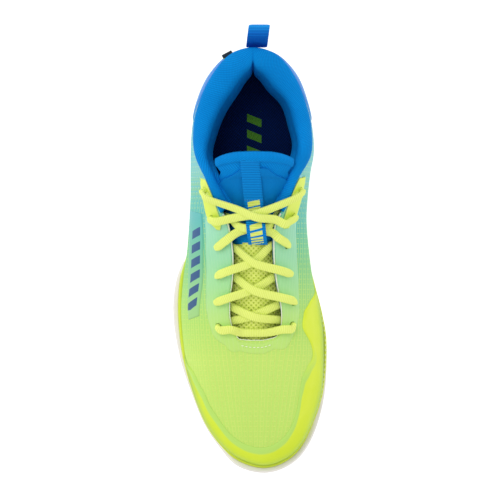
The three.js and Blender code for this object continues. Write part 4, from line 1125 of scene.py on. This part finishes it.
def collarMaterial():
    # Brushed polyester over foam: soft sheen, with a fine diagonal twill each 1.1 mm.
    material, tree = newMaterial("brushedTwill", "#028bdb", 0.85, matt)
    across, along = mapped(tree, math.radians(35))
    twill = times(tree, ribs(tree, across, 1.1),
                  calculate(tree, "MULTIPLY_ADD", ribs(tree, along, 2.2), 0.4, 0.6))
    soft = mixColour(tree, noise(tree, 12.0), "#018cde", "#049cf0")
    shade = calculate(tree, "MULTIPLY_ADD", twill, 0.6, 0.4)
    return coat(material, mixColour(tree, shade, "#0165b6", soft), twill, 0.22)


blueTwill = collarMaterial()


def addCollar():
    front, back = collarFirst + 0.7, collarFirst + len(collar) - 1.7
    crease = collarSize["crease"]
    reach = {"lateral": (front, heelSection - crease), "medial": (heelSection + crease, back)}
    for side, (start, end) in reach.items():
        t = np.linspace(0, 1, collarSize["sections"])
        t = 1 - (1 - t) ** 1.6 if side == "lateral" else t ** 1.6
        loops = np.array([collarLoop(a) for a in start + (end - start) * t])
        pad = loftPiece("collarPad" + side.capitalize(), loops, blueTwill,
                        node="collar_pad_" + side, slotName="collar_fabric")
        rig.padded(pad, 0.8)


addCollar()
print("collar made")


# Tongue: spacer mesh below, padded cloth above with a panel on it, and a rolled top edge.
tongueSize = {"pad": 5.0, "mesh": 4.0, "meshEnd": 5.0, "padStart": 4.0, "topEnd": 65.0,
              "rollRadius": 2.4, "panelStart": 8.0, "panelLength": 48.0, "liningEnd": 50.0}


def tongueLoops(y, share, thick, lift, power=0.45, points=56, bow=0.0):
    turn = np.linspace(0, 2 * math.pi, points, endpoint=False)
    c = np.sign(np.cos(turn)) * np.abs(np.cos(turn)) ** power
    s = np.sign(np.sin(turn)) * np.abs(np.sin(turn)) ** power
    thick, share, lift, bow = [np.broadcast_to(v, len(y)) for v in (thick, share, lift, bow)]
    drop = np.abs(c) ** 3
    loops = [onTongue(tongueRow(at - b * drop), c * w, l + t / 2 * (s - 1))
             for at, w, t, l, b in zip(y, share, thick, lift, bow)]
    return np.array(loops)


def spacerMaterial():
    # Warp-knit spacer mesh: little diamond openings in soft neon yarn, the openings painted darker as painted shade
    # over the layer seen through them.
    material, tree = newMaterial("spacerMesh", "#d8ec58", 0.85, matt)
    x, y = [times(tree, placeAlong(tree, axis), 1 / mm) for axis in "XY"]
    one = ribs(tree, calculate(tree, "ADD", x, y), 3.4)
    two = ribs(tree, calculate(tree, "SUBTRACT", x, y), 3.4)
    holes = calculate(tree, "POWER", times(tree, one, two), 1.5)
    return coat(material, mixColour(tree, holes, "#f0fa84", "#c6de40"),
                calculate(tree, "SUBTRACT", 1.0, holes), 0.6)


def addTongue():
    start = float(tongue[0, 0])
    endTaper = lambda t: np.sqrt(np.clip(1 - np.abs(2 * t - 1) ** 6, 0.02, 1))
    rows = np.linspace(start, tongueSize["meshEnd"], 90)
    t = np.linspace(0, 1, 90)
    loftPiece("tongueMesh", tongueLoops(rows, 1.0, tongueSize["mesh"] * endTaper(t), 0.0), spacerMaterial(),
              node="tongue_mesh", slotName="tongue_spacer_mesh")
    t = 1 - (1 - np.linspace(0, 1, 130)) ** 1.7
    y = tongueSize["padStart"] + (tongueSize["topEnd"] - tongueSize["padStart"]) * t
    roll = smooth(y, 59.5, 61.5)
    fromEnd = np.minimum(1, (tongueSize["topEnd"] - y) / tongueSize["rollRadius"])
    fromStart = np.minimum(1, (y - tongueSize["padStart"]) / 1.5)
    full = np.sqrt(np.clip(1 - (1 - fromEnd) ** 2, 0.004, 1))
    full = full * np.sqrt(np.clip(1 - (1 - fromStart) ** 2, 0.02, 1))
    thick = (tongueSize["pad"] + 2.2 * roll) * full
    lift = 1.6 * roll * full + 0.25 - (tongueSize["pad"] + 2.2) * 0.5 * (1 - full) * roll
    wide = np.interp(y, [-20, 0, 15, 30, 45, 56], [1.0, 1.2, 1.5, 1.55, 1.33, 1.0])
    loops = tongueLoops(y, wide, thick, lift, bow=4.5 * smooth(y, 46, 60))
    upper = loftPiece("tongueUpper", loops, blueTwill, node=("tongue_pad", "tongue_top"),
                      slotName="collar_fabric", body=None)
    bendTongue(upper)
    t = 1 - (1 - np.linspace(0, 1, 90)) ** 1.6
    y = tongueSize["panelStart"] + tongueSize["panelLength"] * t
    halfWidth = np.interp(y, [8, 40, 46.5, 49, 51, 53.5, 55.5, 56], [20, 23, 23, 20.5, 15, 11.5, 9, 7.5])
    crown = halfWidth / tableValue(tongue, 2, tongueRow(y))
    loops = tongueLoops(y, crown, 1.6, 1.5, 0.3)
    panel = loftPiece("tonguePanel", loops, panelMaterial(), node="tongue_panel", slotName="collar_fabric",
                      body=None)
    bendTongue(panel)
    rows = np.linspace(start, tongueSize["liningEnd"], 60)
    loftPiece("tongueLining", tongueLoops(rows, 0.95, 0.8, -tongueSize["pad"] - 0.7), liningMaterial(),
              node="tongue_lining", slotName="lining_fabric")


def panelMaterial():
    # Smooth blue cloth bonded on the tongue: fine knit, flatter than the collar's twill.
    material, tree = newMaterial("bondedKnit", "#0488da", 0.7, matt)
    across, along = mapped(tree)
    knit = times(tree, ribs(tree, across, 0.9), ribs(tree, along, 0.9))
    return coat(material, mixColour(tree, knit, "#0178c8", "#0290de"), knit, 0.15)


def bendTongue(piece):
    fold = (shift[1] + foldPlace) * mm
    low, high = (0, fold - 2.5 * mm, 0.105), (0, fold + 3.5 * mm, 0.109)
    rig.blend(piece, "shoe", "tongue_flap", start=low, end=high)


labelSize = {"width": 13.2, "thick": 0.8, "slant": 0.1, "lean": 30}
labelSections = np.array([
    [4.5, 1.9], [9, 5.2], [12.5, 9.1], [18, 9.1], [22, 4.4], [25, 3.0], [33, 2.2], [44, 2.0], [62, 0.6],
])
labelBars = [(33.2, 4.4), (28.9, 3.9), (19.2, 3.6), (15.0, 3.3), (11.2, 2.7), (8.2, 2.0), (5.8, 1.3)]


def labelMaterial():
    # Jacquard webbing: ribbed across, with plain yellow slanted bars woven in lower down.
    material, tree = newMaterial("jacquardWebbing", "#0284d8", 0.75, matt)
    along, across = mapped(tree)
    weft = ribs(tree, along, 1.1)
    ground = mixColour(tree, weft, "#016bbd", "#0a97e8")
    slanted = calculate(tree, "MULTIPLY_ADD", across, -0.22, along)
    ink = None
    for middle, width in labelBars:
        bar = inside(tree, slanted, middle - width * 0.4, middle + width * 0.4)
        ink = bar if ink is None else calculate(tree, "MAXIMUM", ink, bar)
    ink = times(tree, ink, inside(tree, across, -4.2, 4.2))
    woven = mixColour(tree, weft, "#dcea5c", "#f0fa8e")
    return coat(material, mixColour(tree, ink, ground, woven), weft, 0.25)


def labelPoint(y, side, lift):
    place = np.interp(y, labelSections[:, 0], np.arange(len(labelSections)))
    height = tableValue(labelSections, 1, place)
    point = onTongue(tongueRow(y), 0.0, height + lift)
    return point + np.array([side * labelSize["width"] / 2 - labelSize["slant"] * (y - labelSize["lean"]), 0,
                             -side * side * labelSize["width"] / 30])


def addLabel():
    ys = np.linspace(labelSections[0, 0], labelSections[-1, 0], 120)
    sides = np.linspace(-1, 1, 11)
    edge = np.sqrt(1 - np.abs(sides) ** 5 * 0.85)
    lifts = [labelSize["thick"] * (0.5 + way * edge) for way in (0.5, -0.5)]
    outer, inner = [np.array([[labelPoint(y, s, r) for s, r in zip(sides, lift)] for y in ys])
                    for lift in lifts]
    uvs = np.stack(np.broadcast_arrays(ys[:, None], sides[None, :] * labelSize["width"] / 2), axis=-1)
    label = skinPiece("tongueLabel", outer, inner, labelMaterial(), uvs=uvs, node="tongue_label",
                      slotName="webbing", body=None)
    bendTongue(label)
    sewing = {"pitch": 1.7, "length": 1.3, "width": 0.5}
    thread = threadMaterial("labelThread", "#3aa6ea")
    for name, y in (("labelStitchesLow", 6.2), ("labelStitchesHigh", 35.5)):
        points = [labelPoint(y, s, labelSize["thick"]) for s in np.linspace(-0.86, 0.86, 12)]
        stitchRow(name, points, [[0, -0.3, 1]] * 12, sewing, thread, slotName="webbing")


addTongue()
addLabel()
print("tongue made")


# Heel: a webbing loop to pull, and a small woven tag.
def webbingMaterial():
    # Woven nylon webbing: ribbed across, slightly shiny.
    material, tree = newMaterial("nylonWebbing", "#0288de", 0.6, matt)
    along, across = mapped(tree)
    rib = times(tree, ribs(tree, along, 1.7),
                calculate(tree, "MULTIPLY_ADD", ribs(tree, across, 1.4), 0.3, 0.7))
    # painted shade and light: darker near the collar, lighter towards the far end of the loop
    paintedShading = ramp(tree, "Y", [(137, "#0154ba"), (148, "#066cca"), (154, "#18a0f2")])
    return coat(material, mixColour(tree, times(tree, rib, 0.45), paintedShading, "#0146a2"), rib, 0.3)


pullSize = {"width": 14.5, "thick": 1.8, "gap": 6.0, "length": 17, "lean": 19, "skew": 0.13,
            "toSide": 2.4, "behind": 0.4, "above": 4}


def addPullTab():
    middle = pullSize["gap"] / 2 + pullSize["thick"] / 2
    rim = pullSize["gap"] / 2 + pullSize["thick"]
    arc = np.linspace(0, math.pi, 25)
    line = [(middle * math.cos(t), pullSize["length"] + middle * math.sin(t)) for t in arc]
    line += [(-middle, y) for y in np.linspace(pullSize["length"], 0, 10)[1:-1]]
    line += [(middle * math.cos(t + math.pi), middle * math.sin(t + math.pi)) for t in arc]
    line += [(middle, y) for y in np.linspace(0, pullSize["length"], 10)[1:-1]]
    line = np.array(line)
    forward = np.roll(line, -1, axis=0) - np.roll(line, 1, axis=0)
    forward /= np.linalg.norm(forward, axis=1)[:, None]
    normal = np.stack([forward[:, 1], -forward[:, 0]], axis=1)
    lean = math.radians(-pullSize["lean"])
    turn = np.array([[math.cos(lean), -math.sin(lean)], [math.sin(lean), math.cos(lean)]])
    heel = onUpper(heelSection, 0.8, shell["filmGap"] + shell["film"] + shell["gap"])
    section = []
    for c, s in [(math.cos(t), math.sin(t)) for t in np.linspace(0, 2 * math.pi, 28, endpoint=False)]:
        section.append((math.copysign(abs(c) ** 0.35, c) / 2, math.copysign(abs(s) ** 0.6, s) / 2))
    loops = []
    for point, out in zip(line, normal):
        ringPoints = []
        for across, thick in section:
            flat = turn @ (point + out * thick * pullSize["thick"])
            ringPoints.append([across * pullSize["width"] + heel[0] + pullSize["toSide"],
                               flat[0] + heel[1] + rim + pullSize["behind"],
                               flat[1] + heel[2] + pullSize["above"]])
        loops.append(ringPoints)
    loops = np.array(loops)
    loops[..., 0] += (loops[..., 1] - heel[1]) * pullSize["skew"]
    rows, size = loops.shape[:2]
    faces = loopFaces(rows, size, ringed=True, flip=True)
    u = np.cumsum(np.linalg.norm(np.diff(line, axis=0, prepend=line[:1]), axis=1))
    across = np.array([s[0] for s in section]) * pullSize["width"]
    uvs = np.stack(np.broadcast_arrays(u[:, None], across[None, :]), axis=-1).reshape(-1, 2)
    piece = finishMesh("pullTab", loops.reshape(-1, 3), faces, uvs, webbingMaterial(), node="pull_tab",
                       body="pull_loop", slotName="webbing")
    editMesh(piece, bpy.ops.mesh.normals_make_consistent, inside=False)


tagSize = {"width": 7.5, "length": 5, "thick": 0.8, "turn": 28, "section": 15.9, "reach": 3.4,
           "behind": 1.2, "above": 1.4}


def tagMaterial():
    # Woven damask tag: near black, with a yellow-green selvedge.
    material, tree = newMaterial("wovenTag", "#0c2330", 0.75)
    corner = (upperPoint(tagSize["section"], 1.0) + shift) * mm
    edge = calculate(tree, "SUBTRACT", placeAlong(tree, "Y"), corner[1])
    rim = calculate(tree, "LESS_THAN", edge, 2.6 * mm)
    return coat(material, mixColour(tree, rim, "#0c2330", "#9ab84a"), noise(tree, 0.6), 0.1)


def addTag():
    seam = upperPoint(tagSize["section"], 1.0)
    turn, reach = math.radians(tagSize["turn"]), tagSize["reach"]
    away = [-reach * math.sin(turn), reach * math.cos(turn) + tagSize["behind"], tagSize["above"]]
    centre = seam + np.array(away) + shift
    bpy.ops.object.select_all(action="DESELECT")
    bpy.ops.mesh.primitive_cube_add(size=1, location=centre * mm, rotation=(0, 0, turn))
    tag = bpy.context.object
    tag.name = "heelTag"
    tag.scale = (tagSize["width"] * mm, tagSize["length"] * mm, tagSize["thick"] * mm)
    bpy.ops.object.transform_apply(location=True, rotation=True, scale=True)
    editMesh(tag, bpy.ops.mesh.subdivide, number_cuts=3)
    applyModifier(tag, "BEVEL", width=0.25 * mm, segments=2)
    tag.data.materials.clear()
    tag.data.materials.append(tagMaterial())
    standFor(tag, "heel_tag", "shoe", "tag_fabric")


addPullTab()
addTag()
print("heel made")


# Footbed: foam with a raised rim and a navy cloth top.
def footbedFoamMaterial():
    # Open-cell polyurethane foam: matt, dark blue, full of fine cells.
    material, tree = newMaterial("polyurethaneFoam", "#02225c", 0.9, {"Specular IOR Level": 0.1})
    cells = addNode(tree, "ShaderNodeTexVoronoi", {"Scale": 1 / (0.9 * mm)}, {"Vector": objectPlace(tree)})
    return coat(material, mixColour(tree, cells.outputs["Distance"], "#02225c", "#0a3478"),
                cells.outputs["Distance"], 0.2)


def footbedClothMaterial():
    # Brushed polyester, navy, with a diagonal weave and plain slanted bars printed near the heel.
    material, tree = newMaterial("footbedCloth", "#01245d", 0.85, matt)
    across, along = mapped(tree, math.radians(40))
    weave = times(tree, ribs(tree, across, 1.3),
                  calculate(tree, "MULTIPLY_ADD", ribs(tree, along, 2.0), 0.5, 0.5))
    x, y = mapped(tree)
    slant = calculate(tree, "MULTIPLY_ADD", x, 0.4, y)
    bars = calculate(tree, "GREATER_THAN", ribs(tree, slant, 11.0), 0.5)
    printed = times(tree, inside(tree, x, -2.0, 8.0), inside(tree, y, 52.0, 96.0))
    ink = times(tree, times(tree, bars, printed), 0.75)
    cloth = mixColour(tree, weave, "#00082c", "#012a6a")
    return coat(material, mixColour(tree, ink, cloth, "#5c9c1c"), weave, 0.25)


def profileRings(count, profile):
    # Level rings round the shoe. Each row gives a way out from the feather line and what is added
    # to it, then a height and what is added to that.
    a = roundPlaces(count)
    rings = []
    for out, more, height, raised in profile:
        point = feather(a) + outward(a) * (out(a) + more)[:, None]
        point[:, 2] = height(a, point[:, 1]) + raised
        rings.append(point)
    return rings


footbed = {"inset": 5.8, "thick": 4.5}


def addFootbed():
    inset = lambda a: np.full(a.shape, -footbed["inset"])
    base = lambda a, y: midsoleTop(y) + shell["gap"]
    floor = lambda a, y: base(a, y) + footbed["thick"]
    foam = [(-1.0, base, 0.0), (-0.3, base, 0.5), (0.0, base, 2.0), (0.0, base, 4.0), (-0.3, floor, 1.6),
            (-0.8, floor, 2.0), (-1.6, floor, 1.9), (-3.0, floor, 1.0), (-5.0, floor, 0.1)]
    cloth = [(-6.4, floor, 0.3), (-6.0, floor, 0.5), (-6.0, floor, 0.9), (-6.5, floor, 1.15),
             (-9.0, floor, 1.15)]
    foam, cloth = [profileRings(272, [(inset, *row) for row in rows]) for rows in (foam, cloth)]
    ringPiece("footbedFoam", foam, footbedFoamMaterial(), node="sockliner_foam", body="footbed",
              slotName="midsole_foam")
    ringPiece("footbedCloth", cloth, footbedClothMaterial(), node="sockliner_cloth", body="footbed",
              slotName="sockliner_fabric")


# Sole: foam midsole with a ledge, and a rubber cup in two pieces round a shank.
def foamMaterial():
    # Moulded EVA foam: satin skin with a very fine pebble.
    material, tree = newMaterial("evaFoam", "#dcec4c", 0.5, {"Specular IOR Level": 0.25})
    pebble = addNode(tree, "ShaderNodeTexVoronoi", {"Scale": 1 / (0.8 * mm)}, {"Vector": objectPlace(tree)})
    pebble = pebble.outputs["Distance"]
    fade = ramp(tree, "Y",
                [(-150, "#dcec4c"), (-20, "#dbeb4a"), (10, "#b9e27c"), (60, "#9fdcc0"), (135, "#9fd8e0")])
    return coat(material, mixColour(tree, times(tree, pebble, 0.3), fade, "#c6d83c"), pebble, 0.08)


def rubberMaterial():
    # Non-marking rubber, moulded: satin, off-white, slightly mottled.
    material, tree = newMaterial("nonMarkingRubber", "#f2f0eb", 0.55, {"Specular IOR Level": 0.35})
    return coat(material, mixColour(tree, noise(tree, 14.0, 4.0), "#e6e1d9", "#f5f2ec"), noise(tree, 0.7),
                0.05)


soleSize = {"outsole": 4.0, "wall": 2.2, "count": 544, "forefootEnd": -8.0, "heelStart": 38.0}
treadSize = {"groove": 1.5, "zigLength": 15, "zigDepth": 9, "pitch": 7.5, "ring": 5.5,
             "pivotX": 6, "pivotY": -58, "pivotRadius": 24}


def addMidsole():
    ledgeOut = lambda a: lastValue(9, a)
    inner = lambda a: np.minimum(ledgeOut(a),
                                 ledgeOut(a) + lastValue(10, a) - soleSize["wall"]) - shell["gap"]
    seat = lambda a: np.minimum(ledgeOut(a) - 1.4, -1)
    well = lambda a: np.minimum(ledgeOut(a) - 1.6, -1.3)
    base = lambda a, y: outsoleBottom(y) + soleSize["outsole"] + shell["gap"]
    rim = lambda a, y: outsoleBottom(y) + lastValue(11, a) + shell["gap"]
    waist = lambda a, y: rim(a, y) * 0.6 + midsoleTop(y) * 0.4
    top = lambda a, y: midsoleTop(y)
    rings = profileRings(soleSize["count"], [
        (inner, -2, base, 0), (inner, -0.8, base, 1), (inner, 0, rim, 0), (ledgeOut, -0.3, rim, 0.1),
        (ledgeOut, -0.2, rim, 1.6), (ledgeOut, -0.5, waist, 0), (ledgeOut, -0.1, top, -2.2),
        (ledgeOut, 0, top, -1.1), (ledgeOut, -0.25, top, -0.35), (ledgeOut, -0.9, top, 0), (seat, 0, top, 0),
        (well, 0, top, -2.35),
    ])
    ringPiece("midsoleFoam", rings, foamMaterial(), node="midsole", slotName="midsole_foam")
    a = np.linspace(27.4, 30.9, 80)
    spot = feather(a) + outward(a) * (ledgeOut(a) - 1.0)[:, None]
    spot[:, 2] = midsoleTop(spot[:, 1]) + 0.05
    stitchRow("ledgeStitches", spot, [[0, 0, 1]] * 80, {"pitch": 3.4, "length": 2.0, "width": 0.7},
              threadMaterial("ledgeThread", "#f3f8c0"), slotName="lace_fabric")


def treadHeight(x, y, edge):
    # Herringbone grooves over the ground side and a round pivot pad under the ball.
    zigzag = np.abs((x / treadSize["zigLength"]) % 2 - 1) * treadSize["zigDepth"]
    wave = ((y + zigzag) / treadSize["pitch"]) % 1
    groove = smooth(np.abs(wave - 0.5), 0.12, 0.2)
    pivot = np.hypot(x - treadSize["pivotX"], y - treadSize["pivotY"])
    circle = smooth(np.abs((pivot / treadSize["ring"]) % 1 - 0.5), 0.12, 0.22)
    groove = np.where(pivot < treadSize["pivotRadius"], circle, groove)
    return treadSize["groove"] * (1 - groove) * smooth(edge, 2.5, 4.0)


def addOutsole():
    count = soleSize["count"]
    edge = lambda a: lastValue(9, a) + lastValue(10, a)
    bottom = lambda a, y: outsoleBottom(y)
    rim = lambda a, y: outsoleBottom(y) + lastValue(11, a)
    wall = soleSize["wall"]
    lip = lambda a: np.minimum(lastValue(9, a) + 0.15, edge(a) - wall + 0.1)
    half = lambda a, y: outsoleBottom(y) + 0.5 * lastValue(11, a)
    rings = profileRings(count, [
        (edge, -3.5, bottom, 0), (edge, -1.6, bottom, 0.45), (edge, -0.7, bottom, 1.6),
        (edge, -0.15, half, 0), (edge, 0, rim, -0.7), (edge, -0.35, rim, -0.1), (edge, -wall / 2, rim, 0.8),
        (lip, 0.25, rim, 1.15), (lip, 0, rim, 1.0), (lip, 0.1, rim, 0.8), (edge, -wall, rim, 0.4),
        (edge, -wall, rim, -1.0), (edge, -wall - 1, bottom, soleSize["outsole"]),
    ])
    material = rubberMaterial()
    cup = ringPiece("cup", rings, material, open=("bottom",), body=None)
    start = rings[0]
    rungs, across = count // 2 + 1, 110
    left = start[:rungs]
    right = start[(count - np.arange(rungs)) % count]
    share = np.linspace(0, 1, across)[None, :, None]
    grid = left[:, None] * (1 - share) + right[:, None] * share
    width = np.linalg.norm(right - left, axis=1)[:, None]
    edgeDistance = np.minimum(share[..., 0], 1 - share[..., 0]) * width
    edgeDistance = np.minimum(edgeDistance, 40)
    ends = np.minimum(grid[..., 1] - grid[0, :, 1].mean(), grid[-1, :, 1].mean() - grid[..., 1])
    grid[..., 2] = outsoleBottom(grid[..., 1]) + treadHeight(grid[..., 0], grid[..., 1],
                                                             np.minimum(edgeDistance, np.maximum(ends, 0)))
    faces = gridFaces(rungs, across, flip=True)
    tread = finishMesh("tread", grid.reshape(-1, 3), faces, grid[..., :2].reshape(-1, 2), material, body=None)
    selectOnly(tread, cup)
    bpy.ops.object.join()
    editMesh(cup, bpy.ops.mesh.remove_doubles, threshold=0.02 * mm)
    editMesh(cup, bpy.ops.mesh.normals_make_consistent, inside=False)
    cutOutsole(cup, "forefootRubber", "forefoot_outsole", soleSize["forefootEnd"], 1)
    cutOutsole(cup, "heelRubber", "heel_outsole", soleSize["heelStart"], -1)
    bpy.data.objects.remove(cup)


def cutOutsole(cup, name, node, y, keep):
    piece = cup.copy()
    piece.data = cup.data.copy()
    piece.name = name
    scene.collection.objects.link(piece)
    editMesh(piece, bpy.ops.mesh.bisect, plane_co=(0, (y + shift[1]) * mm, 0), plane_no=(0, keep, 0),
             clear_outer=True, use_fill=True)
    bpy.ops.object.shade_smooth_by_angle(angle=math.radians(40))
    standFor(piece, node, "shoe", "rubber")


def plainNodes():
    # Pieces that keep their CAD shape: shank, board and the two stiffeners.
    shank, tree = newMaterial("glassFilledNylon", "#1c3f8f", 0.3, {"Coat Weight": 0.3})
    coat(shank, None, noise(tree, 0.8), 0.08)  # moulded nylon with glass: glossy, faintly grained
    board, tree = newMaterial("celluloseBoard", "#d9d3c4", 0.95)  # pressed fibre: matt, flecked
    coat(board, mixColour(tree, noise(tree, 1.5), "#cfc8b6", "#e3decf"), noise(tree, 0.8), 0.1)
    stiff, tree = newMaterial("thermoplasticSheet", "#cfcfcf", 0.6)  # non-woven soaked in resin
    coat(stiff, mixColour(tree, noise(tree, 2.0), "#c4c4c4", "#dadada"), noise(tree, 1.0), 0.1)
    for name, material in (("midfoot_shank", shank), ("insole_board", board), ("heel_counter", stiff),
                           ("toe_puff", stiff)):
        slots = frame["nodes"][name].data.materials
        slots.clear()
        slots.append(material)


addFootbed()
addMidsole()
addOutsole()
plainNodes()
bpy.data.objects.remove(punch)
print("sole made")


def addStudio():
    bpy.ops.object.select_all(action="DESELECT")
    bpy.ops.mesh.primitive_plane_add(size=12, location=(0, 0, -0.0002))
    floor = bpy.context.object
    floor.name = "floor"
    glow = {"Emission Color": linear("#ffffff"), "Emission Strength": studio["floorGlow"]}
    material = newMaterial("paperSweep", studio["floor"], 0.9, glow)[0]  # matt white paper
    floor.data.materials.append(material)
    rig.stage(floor)
    world = bpy.data.worlds.new("sky")
    world.use_nodes = True
    world.node_tree.nodes["Background"].inputs["Color"].default_value = (1, 1, 1, 1)
    world.node_tree.nodes["Background"].inputs["Strength"].default_value = studio["sky"]
    scene.world = world
    lamp = bpy.data.lights.new("softbox", "SUN")
    lamp.energy = studio["sun"]
    lamp.angle = math.radians(studio["sunAngle"])
    light = bpy.data.objects.new("softbox", lamp)
    light.rotation_euler = (math.radians(-22), math.radians(-18), 0)
    scene.collection.objects.link(light)


addStudio()
visualBox = [list(corner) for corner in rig.bounds()]
with open("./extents.json", "w") as sizes:
    json.dump({"cad": cadBox, "visual": visualBox}, sizes)
print("done")
